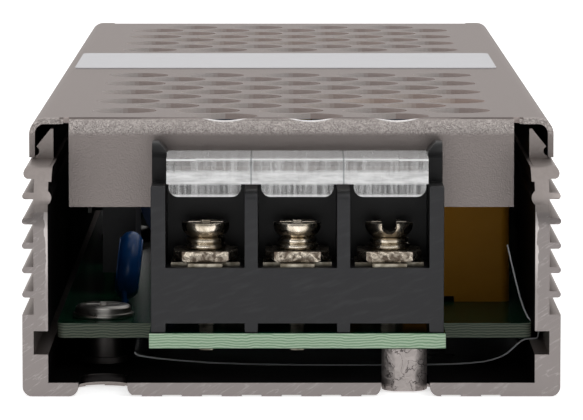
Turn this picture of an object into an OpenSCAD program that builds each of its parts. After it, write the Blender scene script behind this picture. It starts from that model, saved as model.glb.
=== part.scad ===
// Slim switching power supply in a finned aluminium channel with a perforated cover.
// The terminal end for the mains faces -Y, the output end faces +Y, and Z is 0 underneath.

/* [Case] */
// Length of the channel
case_len = 194; // [170:1:260]
// Width over the fin tips
case_w = 55; // [53:0.5:64]
// Height from the underside to the top of the cover
case_h = 27.4; // [27:0.1:32]
// Thickness of the channel's floor
floor_t = 1.4; // [1.2:0.1:2]
// Thickness of the channel's lower side walls
wall_t = 2.63; // [2.4:0.01:3.2]
// Height of the solid side below the fins
side_h = 8.43; // [8:0.01:9.5]
// Thickness of the side wall between the fins
web_t = 1.46; // [1.2:0.01:1.8]
// Radius of the bottom outer corners
corner_r = 1; // [0.5:0.1:1.3]
// Length of the open zone at each end
end_zone = 14; // [13.9:0.1:20]
// Radius of the walls' upper corners in the open zones
end_r = 6; // [3:0.5:8]

/* [Fins] */
// Distance from one fin to the next
fin_pitch = 2.5; // [2:0.1:3.5]
// Thickness of a fin
fin_t = 0.65; // [0.5:0.05:0.9]
// Gap between the solid side and the first fin
fin_gap = 1.74; // [1.2:0.02:2.2]
// Thickness of the rail that carries the cover
rail_t = 1.1; // [0.9:0.1:1.5]

/* [Board grooves] */
// Height of the groove's lower edge
groove_z = 4.31; // [4:0.01:4.6]
// Height of the groove itself
groove_h = 2.41; // [2.2:0.01:2.6]
// Thickness of wall left behind the groove
groove_wall = 1.15; // [0.9:0.05:1.3]

/* [Floor] */
// Width of the end notches
notch_w = 5; // [4.6:0.1:5.5]
// Depth of the end notches
notch_d = 7.5; // [6.5:0.1:8]
// Place of the left notch across the case
notch_left = 19.3; // [18:0.1:20]
// Place of the right notch across the case
notch_right = 11.65; // [10:0.05:13]
// Pitch of the shallow flutes on the underside
flute_pitch = 4.08; // [3.5:0.02:4.6]
// Width of a flute
flute_w = 2; // [1:0.1:2.4]
// Depth of a flute
flute_d = 0.15; // [0.1:0.01:0.25]
// Fixing hole spacing along the case
fix_len = 150; // [100:1:156]
// Fixing hole spacing across the case
fix_w = 32; // [24:0.5:34]
// Fixing hole diameter, threaded M3
fix_d = 3; // [2.5:0.1:3.5]

/* [Cover] */
// Thickness of the cover sheet
sheet_t = 0.6; // [0.5:0.05:0.8]
// Outer radius of the cover's bends
bend_r = 1.6; // [1.3:0.1:2]
// Height of the cover's side flanges
flange_h = 4.1; // [3.6:0.1:4.8]
// Height of the cover's end lips
lip_h = 9.3; // [7:0.1:10]
// Width of the cover's end lips
lip_w = 46.6; // [44:0.5:47.6]
// Diameter of the vent holes
vent_d = 6.9; // [5.5:0.1:7.2]
// Vent hole pitch across the case
vent_pitch_x = 8.9; // [8.2:0.1:10]
// Vent row pitch along the case
vent_pitch_y = 6.64; // [6.2:0.02:7.5]
// Distance from the cover's end to the middle of the first full row
vent_first = 10.6; // [9:0.1:12]
// Number of holes in the short front row
front_row_n = 3; // [1:1:4]
// Pitch of the short front row
front_row_pitch = 9.03; // [8.5:0.01:10]

/* [Label] */
// Distance from the label's sides to the cover's edges
label_margin = 2.15; // [2:0.05:4]
// Length of the label
label_len = 26.4; // [15:0.1:30]
// Thickness of the label
label_t = 0.1; // [0.08:0.01:0.2]
// Distance from the case's front end to the label
label_from = 88.8; // [80:0.1:100]

/* [Circuit board] */
// Thickness of the board
board_t = 1.6; // [1.4:0.1:1.7]
// Distance from the case's ends to the main board
board_inset = 12; // [11:0.1:13]
// Thickness of the insulating film
film_t = 0.15; // [0.1:0.01:0.17]
// Diameter of the board screws' shanks
board_screw_d = 2.5; // [2:0.1:2.8]
// Distance from the case's ends to the outer board screws
screw_inset = 17.5; // [16:0.1:19]
// Diameter of the standoffs
standoff_d = 3.9; // [3.6:0.1:4.6]

/* [Terminal blocks] */
// Number of mains poles
input_poles = 3; // [2:1:4]
// Number of output poles
output_poles = 4; // [2:1:4]
// Distance from one pole to the next
pole_pitch = 9.5; // [9:0.1:10]
// Thickness of the walls between poles
divider_t = 1.36; // [1.1:0.02:1.6]
// Thickness of a block's outer walls
outer_t = 1.5; // [1.3:0.1:1.8]
// Thickness of a block's back wall
back_t = 1.2; // [1:0.1:1.4]
// Depth of a block from front to back
block_d = 9.9; // [9.6:0.1:10.2]
// Distance from the case's end to a block's front
block_inset = 3.6; // [3:0.1:3.7]
// Height of the feet under a block
foot_h = 0.95; // [0.7:0.05:1.2]
// Height of a pole's floor above the board
pole_floor = 6.7; // [6.4:0.1:7]
// Height of the dividers above the board
divider_h = 14.7; // [14:0.1:15]
// Height of the outer walls' front part above the board
side_wall_h = 15.1; // [14.8:0.1:15.4]
// Height of the lid's pivot ears above the board
ear_h = 19.2; // [18.8:0.1:19.4]
// Diameter of a terminal screw's shank
screw_d = 3; // [2.5:0.1:3]
// Diameter of a terminal screw's head
head_d = 4.95; // [4.6:0.05:5.4]
// Height of a terminal screw's head
head_h = 1.55; // [1.2:0.05:1.7]
// Length of a terminal screw below its head
screw_len = 6; // [5.6:0.1:6.2]
// Width of a clamp plate
clamp_w = 6.6; // [6:0.1:7.2]
// Thickness of a clamp plate
clamp_t = 1.1; // [0.8:0.05:1.2]
// Thickness of the spring washers
washer_t = 1.2; // [0.8:0.05:1.3]
// Thickness of a contact plate
contact_t = 0.35; // [0.3:0.05:0.5]

/* [Lids] */
// Thickness of the clear lids
lid_t = 0.9; // [0.7:0.05:1]
// Height of a lid's front skirt
skirt_h = 2.7; // [2.2:0.1:2.9]
// How far the lid's tabs hang below its skirt
tab_h = 1.3; // [0.8:0.1:1.5]
// Diameter of the lid's pivot pins
pivot_d = 1.6; // [1.4:0.1:1.8]

/* [Hidden] */
$fn = 48;
tiny = 0.01;
fit = 0.05;
slack = 0.15;
bond = 0.02;

half_w = case_w/2;
inner_x = half_w - wall_t;
web_x = inner_x + web_t;
front = -case_len/2;
cover_w = case_w - 0.1;
cover_len = case_len - 2*end_zone;
cover_front = front + end_zone;
sheet_z = case_h - sheet_t;
rail_top = case_h - flange_h - 0.1;
ledge_x = cover_w/2 - sheet_t - fit;
wall_top = sheet_z - 0.5;
ledge_h = 1.1;
bead_r = 0.5;
bead_z = rail_top + 0.75;
bead_in = 0.3;
bead_len = 12;
label_w = cover_w - 2*label_margin;
label_clear = 2;
label_x = -0.6;
front_row_x = 2.04;
front_row_y = 3.25;
front_row_edge = 0.75;
front_row_r = 6;
side_margin = 4.5;

board_z = groove_z + groove_h - board_t - 0.62;
board_top = board_z + board_t;
board_x0 = -inner_x + 0.37;
board_x1 = half_w - groove_wall - 1.2;
board_y = case_len/2 - board_inset;
tongue_y = case_len/2 - block_inset + 0.3;
film_z = floor_t + 0.22;
film_under = (groove_z + board_z)/2;
film_edge = (board_x1 + half_w - groove_wall)/2 + 0.1;
film_up = 8.2;
film_ramp = 7.5;
film_turn = 6.6;
film_curl = 2.6;
input_x = 0.61;
output_x = 0;
screw_row_x = -inner_x + 5;
film_left = screw_row_x + standoff_d/2 + 1.6;
screw_row_y = [front + screw_inset, 0, -front - screw_inset];
standoff_top = board_z;
front_post_y = front + notch_d - notch_w/2;
post_d = 4.7;
board_head_d = 5.95;
board_head_h = 1.6;
board_washer_d = 6.4;
board_washer_t = 0.5;
board_screw_grip = 2.4;
board_slot_w = 0.7;

cell_w = pole_pitch - divider_t;
block_y = block_d - back_t;
axis_y = 5;
contact_w = 7.1;
contact_tip_w = 3.55;
contact_from = 0.6;
contact_wide_from = 2.3;
contact_to = block_y - 0.4;
clamp_z = pole_floor + contact_t + fit;
washer_z = clamp_z + clamp_t + fit;
head_z = washer_z + washer_t;
shank_bore_r = screw_d/2 + fit;
clamp_bore_r = screw_d/2 + slack;
lift = 2;
thread_pitch = 0.5;
leg_w = 1.36;
leg_t = 0.8;
leg_y = block_y - 1.6;
leg_below = 1.1;
pivot_y = 8.25;
pivot_z = ear_h - 2;
ear_from = 5.3;
ear_r = 1.65;
pivot_bore_r = pivot_d/2 + fit;
lid_gap = 0.12;
lid_front = 0;
lid_top = pivot_z + 0.85;
skirt_bottom = lid_top - skirt_h;
tab_w = cell_w - 0.7;

// Parts on the board. Their places and sizes are shares of the case's length,
// of its inside half width and of the room above the board.
headroom = sheet_z - board_top;
pin_d = 0.6;
fuse_pos = [0.08*inner_x, front + 0.124*case_len];
fuse_len = 0.8*inner_x;
fuse_d = 0.25*headroom;
fuse_lift = 1;
limiter_pos = [-0.362*inner_x, front + 0.17*case_len];
limiter_d = 0.483*headroom;
limiter_t = 0.174*headroom;
x_cap = [0.724*inner_x, 0.0464*case_len, 0.802*headroom];
x_cap_pos = [inner_x - 1.2 - x_cap[0]/2, front + 0.183*case_len];
x_cap_foot = 0.6;
y_cap_d = 0.3575*headroom;
y_cap_t = 0.1*inner_x;
y_cap_pos = [-0.7218*inner_x, front + 0.1495*case_len];
y_cap_lean = 6;
choke_pos = [0.241*inner_x, front + 0.2732*case_len];
choke = [0.724*inner_x, 0.0722*case_len, 0.821*headroom];
choke_bar = 0.18*choke[2];
choke_turns = 8;
choke_turn = 0.07*choke[2];
bridge = [0.145*inner_x, 0.103*case_len, 0.676*headroom];
bridge_pos = [-0.759*inner_x, front + 0.2474*case_len];
bridge_lift = 0.116*headroom;
bulk_d = min(0.724*inner_x, 0.87*headroom);
bulk_len = 0.165*case_len;
bulk_pos = [0.024*inner_x, front + 0.4227*case_len];
drive = [0.04*inner_x, 0.0928*case_len, 0.7246*headroom];
drive_pos = [-0.852*inner_x, front + 0.3918*case_len];
core = [1.367*inner_x, 0.165*case_len, 0.8454*headroom];
core_pos = [0, front + 0.6237*case_len];
core_lift = 0.8;
core_bar = 0.1714*core[2];
window_x = 0.2706*core[0];
window_w = 0.247*core[0];
coil_side = 0.094*core[1];
transistor = [0.181*inner_x, 0.0515*case_len, 0.7246*headroom];
transistor_y = [front + 0.5464*case_len, front + 0.6186*case_len];
diode_y = [front + 0.6907*case_len, front + 0.7732*case_len];
pad_t = 0.5;
clip_t = 0.7;
film_room = 0.55;
toroid_d = min(0.0876*case_len, 0.6836*inner_x);
toroid_h = 0.386*headroom;
toroid_pos = [-0.402*inner_x, front + 0.7835*case_len];
block_rear = -front - block_inset - block_d;
lamp_d = 3;
lamp_gap = 3.5;
lamp_pos = [0.583*inner_x, block_rear - lamp_gap];
trimmer = [0.2573*inner_x, 0.2573*inner_x, 0.2415*headroom];
trimmer_gap = 5;
trimmer_pos = [0.8042*inner_x, block_rear - trimmer_gap];
trimmer_floor = 2;
rotor_r = 0.344*trimmer[0];
rotor_h = 0.68*trimmer[2];
out_cap_d = min(0.0515*case_len, 0.402*inner_x);
out_cap_h = 0.918*headroom;
out_cap_x = [-0.362*inner_x, 0.0563*inner_x, 0.4745*inner_x];
out_cap_gap = 10.5;
out_cap_y = block_rear - out_cap_gap;
opto = [0.2573*inner_x, 0.0237*case_len, 0.169*headroom];
opto_pos = [[-0.828*inner_x, front + 0.6753*case_len], [0.828*inner_x, front + 0.6289*case_len]];
chip = [3.2, 1.6, 0.6];
chip_x = [-0.824*inner_x, -0.824*inner_x, 0.8766*inner_x, 0.8766*inner_x, -0.824*inner_x,
          -0.844*inner_x, 0.744*inner_x];
chip_share = [0.4536, 0.4716, 0.3402, 0.366, 0.8247, 0.868, 0.3196];

// ---------- helpers ----------

module both_sides() {
    children();
    mirror([1, 0, 0]) children();
}

module both_ends() {
    children();
    mirror([0, 1, 0]) children();
}

// A plate with rounded vertical edges, standing on z = 0 with its corner at the origin
module rounded_plate(size, r) {
    linear_extrude(size[2]) rounded_area(size[0], size[1], r);
}

module rounded_area(w, d, r) {
    translate([r, 0]) square([w - 2*r, d]);
    translate([0, r]) square([w, d - 2*r]);
    for (x = [r, w - r], y = [r, d - r]) translate([x, y]) circle(r);
}

// A box standing on the board, given by its middle, with rounded vertical edges
module on_board(x, y, size, r = 0.4) {
    translate([x - size[0]/2, y - size[1]/2, board_top]) rounded_plate(size, r);
}

// ---------- chassis ----------

module fin(z, t, tip) {
    translate([inner_x + tiny, z]) square([tip - inner_x - tiny - t/2, t]);
    translate([tip - t/2, z + t/2]) circle(t/2);
}

module side_section() {
    fin_n = floor((rail_top - rail_t - side_h - fin_gap - fin_t - 0.8)/fin_pitch) + 1;
    translate([inner_x, floor_t - tiny]) square([wall_t, side_h - floor_t]);
    translate([inner_x, side_h - 1]) square([web_t, rail_top - side_h + 1]);
    for (k = [0:fin_n - 1]) fin(side_h + fin_gap + k*fin_pitch, fin_t, half_w);
    fin(rail_top - rail_t, rail_t, half_w);
    translate([inner_x, rail_top - tiny])
        polygon([[0.05, 0], [ledge_x - inner_x, 0], [ledge_x - inner_x, ledge_h],
                 [ledge_x - inner_x - 1.6, wall_top - rail_top], [0.05, wall_top - rail_top]]);
    // Two small beads that stiffen the wall inside
    translate([inner_x - 0.3, rail_top - 1.35]) square([1, 1.3]);
    translate([inner_x + 0.45, rail_top - 2.9]) circle(0.8);
}

module channel_section() {
    difference() {
        union() {
            translate([-half_w + corner_r, 0]) square([case_w - 2*corner_r, floor_t]);
            both_sides() {
                translate([half_w - corner_r, corner_r]) circle(corner_r);
                translate([inner_x, corner_r]) square([wall_t, floor_t]);
                side_section();
            }
        }
        both_sides() translate([inner_x - 1, groove_z]) square([1 + wall_t - groove_wall, groove_h]);
        flute_n = floor((inner_x - 3)/flute_pitch);
        for (k = [-flute_n:flute_n])
            translate([k*flute_pitch - flute_w/2, -1]) square([flute_w, 1 + flute_d]);
        // Snap groove for the cover's beads
        both_sides() translate([ledge_x + 0.1, bead_z]) circle(bead_r);
    }
}

module channel_side_view() {
    end_top = rail_top;
    difference() {
        translate([front, -1]) square([case_len, wall_top + 2]);
        both_ends_2d() {
            translate([front - 1, end_top]) square([end_zone + 1.3, 9]);
            difference() {
                translate([front - 1, end_top - end_r]) square([1 + end_r, end_r + 1]);
                translate([front + end_r, end_top - end_r]) circle(end_r);
                translate([front + end_r, end_top - end_r - 1]) square([5, end_r + 3]);
            }
        }
    }
}

module both_ends_2d() {
    children();
    mirror([1, 0]) children();
}

module end_notch(x) {
    flare = 1;
    translate([x, front, -1]) linear_extrude(floor_t + 2) {
        translate([-notch_w/2, -1]) square([notch_w, notch_d - notch_w/2 + 1]);
        translate([0, notch_d - notch_w/2]) circle(notch_w/2);
    }
    // Rounded lower edge of the notch
    translate([x, front, 0]) rotate([-90, 0, 0]) translate([0, 0, -1])
        linear_extrude(notch_d - notch_w/2 + 1) for (s = [-1, 1]) scale_x(s) difference() {
            translate([notch_w/2 - tiny, -flare]) square([flare, 2*flare]);
            translate([notch_w/2 + flare, -flare]) circle(flare);
        }
    translate([x, front + notch_d - notch_w/2, 0]) rotate_extrude() difference() {
        translate([notch_w/2 - tiny, -1]) square([flare, 1 + flare]);
        translate([notch_w/2 + flare, flare]) circle(flare);
    }
}

module scale_x(s) {
    if (s > 0) children();
    else mirror([1, 0]) children();
}

module chassis() {
    color("#9b9390") difference() {
        intersection() {
            rotate([90, 0, 0]) translate([0, 0, -case_len/2]) linear_extrude(case_len) channel_section();
            rotate([90, 0, 90]) translate([0, 0, -half_w - 1]) linear_extrude(case_w + 2)
                channel_side_view();
        }
        both_ends() {
            end_notch(-notch_left);
            end_notch(notch_right);
        }
        for (x = [-fix_w/2, fix_w/2], y = [-fix_len/2, fix_len/2])
            translate([x, y, -1]) cylinder(d = fix_d, h = floor_t + 2);
    }
}

module front_post() {
    flat = 0.25;
    color("#b9b2ae") intersection() {
        translate([notch_right, front_post_y, 0.1]) cylinder(d = post_d, h = board_z - 0.1);
        translate([notch_right - post_d, front_post_y - post_d/2 + flat, 0])
            cube([2*post_d, 2*post_d, case_h]);
    }
}

module standoffs() {
    foot_d = standoff_d + 1.2;
    color("#a9a5a0") for (y = screw_row_y) translate([screw_row_x, y, floor_t]) difference() {
        union() {
            cylinder(d = foot_d, h = 0.6);
            cylinder(d = standoff_d, h = standoff_top - floor_t);
        }
        translate([0, 0, 0.4]) cylinder(d = board_screw_d, h = standoff_top);
    }
}

// ---------- insulating film ----------
// It lies under the board, passes through the right groove and stands up inside the right wall.
// At the front its free edge leans inwards, and further back the parts press it to the wall.

function film_arc(a, b, c, n) =
    [for (i = [0:n]) let (t = i/n) (1 - t)*(1 - t)*(a + b)/2 + 2*t*(1 - t)*b + t*t*(b + c)/2];

function film_line(p) = concat([p[0]],
    [for (i = [1:len(p) - 2]) each film_arc(p[i - 1], p[i], p[i + 1], 4)], [p[len(p) - 1]]);

function unit_normal(a, b) = let (v = b - a) [-v[1], v[0]]/norm(v);

function film_side(q, s) = [for (i = [0:len(q) - 1])
    q[i] + s*unit_normal(q[max(i - 1, 0)], q[min(i + 1, len(q) - 1)])];

// Middle line of the film's section, with its free edge leaning inwards by lean
function film_section(lean) = film_line([
    [film_left - 0.1, film_z + 1.4], [film_left + 0.2, film_z + 0.9], [film_left + film_ramp, film_z + 0.2],
    [0, film_z], [inner_x - film_turn, film_z],
    [inner_x - film_curl, film_z + 0.75], [inner_x - 0.75, film_under],
    [board_x1 + 0.35, film_under], [film_edge, film_under + 0.1], [film_edge, board_top - 0.2],
    [inner_x - 0.5, groove_z + groove_h - 0.05], [inner_x - 0.4 - lean, board_top + film_up]]);

function film_ring(y, lean) = let (q = film_section(lean))
    [for (p = concat(film_side(q, film_t/2), reversed(film_side(q, -film_t/2)))) [p[0], y, p[1]]];

function reversed(v) = [for (i = [len(v) - 1:-1:0]) v[i]];

module insulating_film() {
    from = board_inset + 0.3;
    // Distance from the case's front, and lean of the free edge
    stations = [[from, 1.9], [0.0876*case_len, 1.6], [0.1134*case_len, 0.9], [0.134*case_len, 0.3],
                [0.152*case_len, 0], [case_len - from, 0]];
    rings = [for (s = stations) film_ring(front + s[0], s[1])];
    n = len(rings[0]);
    m = len(rings);
    sides = [for (r = [0:m - 2], i = [0:n - 1]) let (j = (i + 1) % n)
        each [[r*n + i, (r + 1)*n + i, (r + 1)*n + j], [r*n + i, (r + 1)*n + j, r*n + j]]];
    near_end = [for (i = [0:n/2 - 2]) each [[i, i + 1, n - 2 - i], [i, n - 2 - i, n - 1 - i]]];
    far_end = [for (f = near_end) [for (v = reversed(f)) v + (m - 1)*n]];
    color("#8d9499") polyhedron([for (r = rings) each r], concat(sides, near_end, far_end));
}

// ---------- circuit board ----------

module board_outline() {
    translate([board_x0, -board_y]) rounded_area(board_x1 - board_x0, 2*board_y, 0.9);
    tongue(input_x, input_poles);
    mirror([0, 1]) mirror([1, 0]) tongue(output_x, output_poles);
}

module tongue(x, poles) {
    w = block_w(poles) + 0.4;
    translate([x - w/2, -tongue_y]) square([w, tongue_y - board_y + 2]);
}

module circuit_board() {
    color("#3f6b4d") difference() {
        translate([0, 0, board_z]) linear_extrude(board_t) board_outline();
        for (y = screw_row_y) translate([screw_row_x, y, 0]) cylinder(d = board_screw_d + 0.3, h = case_h);
        at_input() leg_slots(input_poles, -case_h);
        at_output() leg_slots(output_poles, -case_h);
    }
}

module board_screws() {
    color("#c9c6c0") for (y = screw_row_y) translate([screw_row_x, y, board_top]) {
        cylinder(d = board_washer_d, h = board_washer_t + tiny);
        translate([0, 0, board_washer_t]) pan_head(board_head_d, board_head_h, board_slot_w);
        translate([0, 0, -board_screw_grip])
            cylinder(d = board_screw_d - 2*fit, h = board_screw_grip + tiny);
    }
}

// A screw head with a domed rim and a cross recess, standing on z = 0
module pan_head(d, h, slot) {
    dome = h*0.45;
    difference() {
        rotate_extrude() union() {
            square([d/2 - dome, h]);
            square([d/2, h - dome]);
            translate([d/2 - dome, h - dome]) circle(dome);
        }
        for (a = [0, 90]) rotate(a) translate([-d*0.3, -slot/2, h*0.55]) cube([d*0.6, slot, h]);
    }
}

// ---------- cover ----------

module cover_bend_section(w, h) {
    // Half of a folded sheet seen from its end: top, bend and flange
    difference() {
        union() {
            square([w - bend_r, sheet_t]);
            translate([w - bend_r, sheet_t - bend_r]) circle(bend_r);
            translate([w - sheet_t, sheet_t - h]) square([sheet_t, h - bend_r]);
        }
        translate([w - bend_r, sheet_t - bend_r]) circle(bend_r - sheet_t);
        translate([w - 3*bend_r, -bend_r - sheet_t]) square([2*bend_r, bend_r + sheet_t]);
        translate([w - 2*bend_r, sheet_t - 3*bend_r]) square([2*bend_r - sheet_t, 2*bend_r]);
    }
}

module cover_lip() {
    translate([-lip_w/2, 0, sheet_z]) rotate([90, 0, 90]) linear_extrude(lip_w)
        mirror([1, 0]) cover_bend_section(cover_len/2, lip_h);
}

module vent(x, y) {
    translate([x, y, sheet_z - 1]) cylinder(d = vent_d, h = 3);
}

module vent_rows(from, to) {
    n = floor((cover_w - 2*side_margin - vent_d)/vent_pitch_x) + 1;
    rows = floor((to - from)/vent_pitch_y) + 1;
    for (r = [0:rows - 1]) {
        m = n - r % 2;
        for (k = [0:m - 1]) vent((k - (m - 1)/2)*vent_pitch_x, from + r*vent_pitch_y);
    }
}

// Holes of the short front row, drawn out by the bend beside them
module front_vents() {
    for (k = [0:front_row_n - 1]) {
        x = front_row_x + (k - (front_row_n - 1)/2)*front_row_pitch;
        intersection() {
            vent(x, cover_front + front_row_y);
            translate([x, cover_front + front_row_edge + front_row_r, 0])
                cylinder(r = front_row_r, h = 2*case_h);
        }
    }
}

module flat_area() {
    translate([-cover_w/2 + bend_r, -cover_len/2 + bend_r])
        square([cover_w - 2*bend_r, cover_len - 2*bend_r]);
}

// The flat perforated panel between the bends
module top_cover() {
    last = -cover_front - vent_first;
    back_field = front + label_from + label_len + label_clear + vent_d/2;
    back_rows = floor((last - back_field)/vent_pitch_y);
    color("#a09691") difference() {
        translate([0, 0, sheet_z]) linear_extrude(sheet_t) flat_area();
        vent_rows(cover_front + vent_first, front + label_from - label_clear - vent_d/2);
        vent_rows(last - back_rows*vent_pitch_y, last);
        front_vents();
    }
}

// The bent edges of the cover: a flange on each side and a deeper lip on each end
module cover_flanges() {
    color("#a09691") difference() {
        union() {
            both_sides() rotate([90, 0, 0]) translate([0, sheet_z, -cover_len/2])
                linear_extrude(cover_len) cover_bend_section(cover_w/2, flange_h);
            both_ends() cover_lip();
            cover_beads();
        }
        translate([0, 0, sheet_z - 1]) linear_extrude(3) flat_area();
        // Open corners between the lips and the flanges
        both_ends() both_sides()
            translate([lip_w/2, -cover_len/2 - 1, sheet_z - 1]) cube([0.6, bend_r + 1.2, 3]);
        both_ends() translate([-lip_w/2 - 1, -cover_len/2 - 1, sheet_z - tiny])
            corner_round(lip_w + 2);
        front_vents();
    }
}

// Removes the square edge above a lip's bend
module corner_round(w) {
    rotate([90, 0, 90]) linear_extrude(w) difference() {
        square([1 + bend_r, bend_r + sheet_t + 1]);
        translate([1 + bend_r, sheet_t - bend_r]) circle(bend_r);
        translate([0, -2*bend_r]) square([1, 2*bend_r]);
    }
}

// Pressed beads that snap into the chassis under the ledge
module cover_beads() {
    for (y = [-cover_len/2 + 2*bead_len, 0, cover_len/2 - 2*bead_len]) both_sides()
        intersection() {
            translate([ledge_x + 0.2, y + bead_len/2, bead_z]) rotate([90, 0, 0])
                cylinder(r = bead_r - 0.12, h = bead_len);
            translate([ledge_x - 1, y - bead_len, bead_z - 1]) cube([1.3, 2*bead_len, 2]);
        }
}

module label_panel() {
    color("#e9e4e1") translate([label_x - label_w/2, front + label_from, case_h])
        rounded_plate([label_w, label_len, label_t], 1);
}

// ---------- terminal blocks ----------
// Each is drawn with its front on y = 0, its middle on x = 0 and the board's top on z = 0.

function block_w(poles) = poles*pole_pitch - divider_t + 2*outer_t;
function pole_x(k, poles) = (k - (poles - 1)/2)*pole_pitch;

module at_input() {
    translate([input_x, front + block_inset, board_top]) children();
}

module at_output() {
    rotate([0, 0, 180]) translate([output_x, front + block_inset, board_top]) children();
}

module outer_wall_area() {
    square([block_d, side_wall_h]);
    translate([ear_from, 0]) square([block_d - ear_from, ear_h - ear_r]);
    translate([ear_from + ear_r, 0]) square([block_d - ear_from - 2*ear_r, ear_h]);
    for (y = [ear_from + ear_r, block_d - ear_r]) translate([y, ear_h - ear_r]) circle(ear_r);
}

module divider_area() {
    square([block_d, pole_floor]);
    square([block_y + tiny, divider_h - 1]);
    translate([1, 0]) square([block_y - 1 + tiny, divider_h]);
    translate([1, divider_h - 1]) circle(1);
}

module wall_at(x, t) {
    translate([x, 0, 0]) rotate([90, 0, 90]) linear_extrude(t) children();
}

module block(poles) {
    w = block_w(poles);
    difference() {
        union() {
            translate([-w/2, 0, foot_h]) cube([w, block_d, pole_floor - foot_h]);
            translate([-w/2, block_y, foot_h]) cube([w, back_t, divider_h - foot_h]);
            wall_at(-w/2, outer_t) outer_wall_area();
            wall_at(w/2 - outer_t, outer_t) outer_wall_area();
            for (k = [1:poles - 1])
                wall_at(pole_x(k, poles) - pole_pitch/2 - divider_t/2, divider_t) divider_area();
        }
        for (k = [0:poles - 1]) translate([pole_x(k, poles), axis_y, pole_floor - screw_len + 1.8])
            cylinder(r = shank_bore_r + slack, h = screw_len);
        leg_slots(poles, -1);
        // Pivot holes for the lid
        translate([-w/2 - 1, pivot_y, pivot_z]) rotate([0, 90, 0]) cylinder(r = pivot_bore_r, h = w + 2);
        // Bevels that let the pivots spread the ears
        for (s = [0, 1]) mirror([s, 0, 0]) translate([w/2 - outer_t, block_d + 1, ear_h])
            rotate([90, 0, 0]) linear_extrude(block_d + 2 - ear_from)
                polygon([[-1, 1], [outer_t*0.55, 1], [outer_t*0.55, 0], [0, -0.9], [-1, -0.9]]);
    }
}

module leg_slots(poles, from) {
    for (k = [0:poles - 1])
        translate([pole_x(k, poles) - leg_w/2 - slack, leg_y - slack, from])
            cube([leg_w + 2*slack, leg_t + 2*slack, pole_floor - from + 1]);
}

module contacts(poles) {
    for (k = [0:poles - 1]) translate([pole_x(k, poles), 0, pole_floor]) difference() {
        union() {
            translate([-contact_tip_w/2, contact_from, 0]) cube([contact_tip_w, 3, contact_t]);
            translate([-contact_w/2, contact_wide_from, 0])
                cube([contact_w, contact_to - contact_wide_from, contact_t]);
            translate([-leg_w/2, leg_y, -pole_floor - board_t - leg_below])
                cube([leg_w, leg_t, pole_floor + board_t + leg_below + contact_t]);
        }
        translate([0, axis_y, -1]) cylinder(r = shank_bore_r, h = 3);
    }
}

// A square plate with cut corners, its underside bevelled and hollowed for the wire
module clamp_plate(k, poles) {
    cut = 0.9;
    rim = 0.5;
    foot = clamp_w - 2.4;
    translate([pole_x(k, poles), axis_y, clamp_z]) difference() {
        intersection() {
            linear_extrude(clamp_t) polygon([for (a = [0, 90, 180, 270], s = [-1, 1])
                let (u = clamp_w/2, v = (clamp_w/2 - cut)*s)
                [u*cos(a) - v*sin(a), u*sin(a) + v*cos(a)]]);
            for (a = [0, 90]) rotate([90, 0, a]) linear_extrude(2*clamp_w, center = true)
                plate_side(foot, rim);
        }
        translate([0, 0, -1]) cylinder(r = clamp_bore_r, h = clamp_t + 2);
        translate([0, -clamp_w, -1.9]) rotate([-90, 0, 0])
            cylinder(r = 2.1, h = clamp_w - screw_d/2 - 1.6);
    }
}

module plate_side(foot, rim) {
    polygon([[-foot/2, 0], [foot/2, 0], [clamp_w/2, clamp_t - rim], [clamp_w/2, clamp_t],
             [-clamp_w/2, clamp_t], [-clamp_w/2, clamp_t - rim]]);
}

// A head that narrows towards its neck, on a spring washer split at the side
module terminal_screw(k, poles) {
    side_r = 1.3;
    side_z = head_h - 0.3;
    slot_w = 0.9;
    washer_d = head_d - 0.6;
    translate([pole_x(k, poles), axis_y, head_z]) {
        difference() {
            rotate_extrude() {
                square([head_d/2 - side_r, head_h]);
                intersection() {
                    translate([head_d/2 - side_r, side_z]) circle(side_r);
                    square([head_d, head_h]);
                }
            }
            for (a = [0, 90]) rotate(a) translate([-head_d*0.36, -slot_w/2, head_h*0.5])
                cube([head_d*0.72, slot_w, head_h]);
        }
        translate([0, 0, -screw_len]) cylinder(d = screw_d, h = screw_len + tiny);
        translate([0, 0, -washer_t]) difference() {
            rotate_extrude() polygon([[0, 0], [washer_d/2 - 0.15, 0], [washer_d/2, 0.15],
                [washer_d/2, washer_t/2 - 0.15], [washer_d/2 - 0.3, washer_t/2],
                [washer_d/2 - 0.15, washer_t/2 + 0.15], [washer_d/2 - 0.15, washer_t - 0.15],
                [washer_d/2 - 0.4, washer_t + tiny], [0, washer_t + tiny]]);
            translate([screw_d/2 + 0.1, -0.2, -1]) cube([washer_d, 0.4, washer_t + 0.9]);
        }
    }
}

module lid(poles) {
    inner_w = block_w(poles) - 2*outer_t - 2*lid_gap;
    rear = pivot_y + pivot_d/2 + 0.05;
    difference() {
        union() {
            translate([-inner_w/2, lid_front, lid_top - lid_t]) cube([inner_w, rear - lid_front, lid_t]);
            translate([-inner_w/2, lid_front, skirt_bottom]) cube([inner_w, lid_t, skirt_h]);
            for (s = [-1, 1]) translate([s*(inner_w/2 - lid_t/2) - lid_t/2, lid_front, 0])
                rotate([90, 0, 90]) linear_extrude(lid_t) cheek_area(rear);
            for (k = [0:poles - 1]) translate([pole_x(k, poles) - tab_w/2, lid_t, skirt_bottom])
                rotate([90, 0, 0]) linear_extrude(lid_t) tab_area();
            for (s = [0, 1]) mirror([s, 0, 0]) translate([inner_w/2 - tiny, pivot_y, pivot_z])
                rotate([0, 90, 0]) cylinder(d = pivot_d, h = outer_t - 0.1);
        }
        // Finger scoop along the front edge
        translate([-inner_w/2 + 3, lid_front - 0.5, lid_top - 0.35])
            cube([inner_w - 6, 1.1, 1]);
    }
}

module cheek_area(rear) {
    translate([0, skirt_bottom + 0.4]) square([rear - pivot_d, lid_top - skirt_bottom - 0.4]);
    translate([pivot_y - pivot_d, pivot_z]) square([2*pivot_d - 0.75, lid_top - pivot_z]);
    translate([pivot_y, pivot_z]) circle(pivot_d/2 + 0.05);
}

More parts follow.
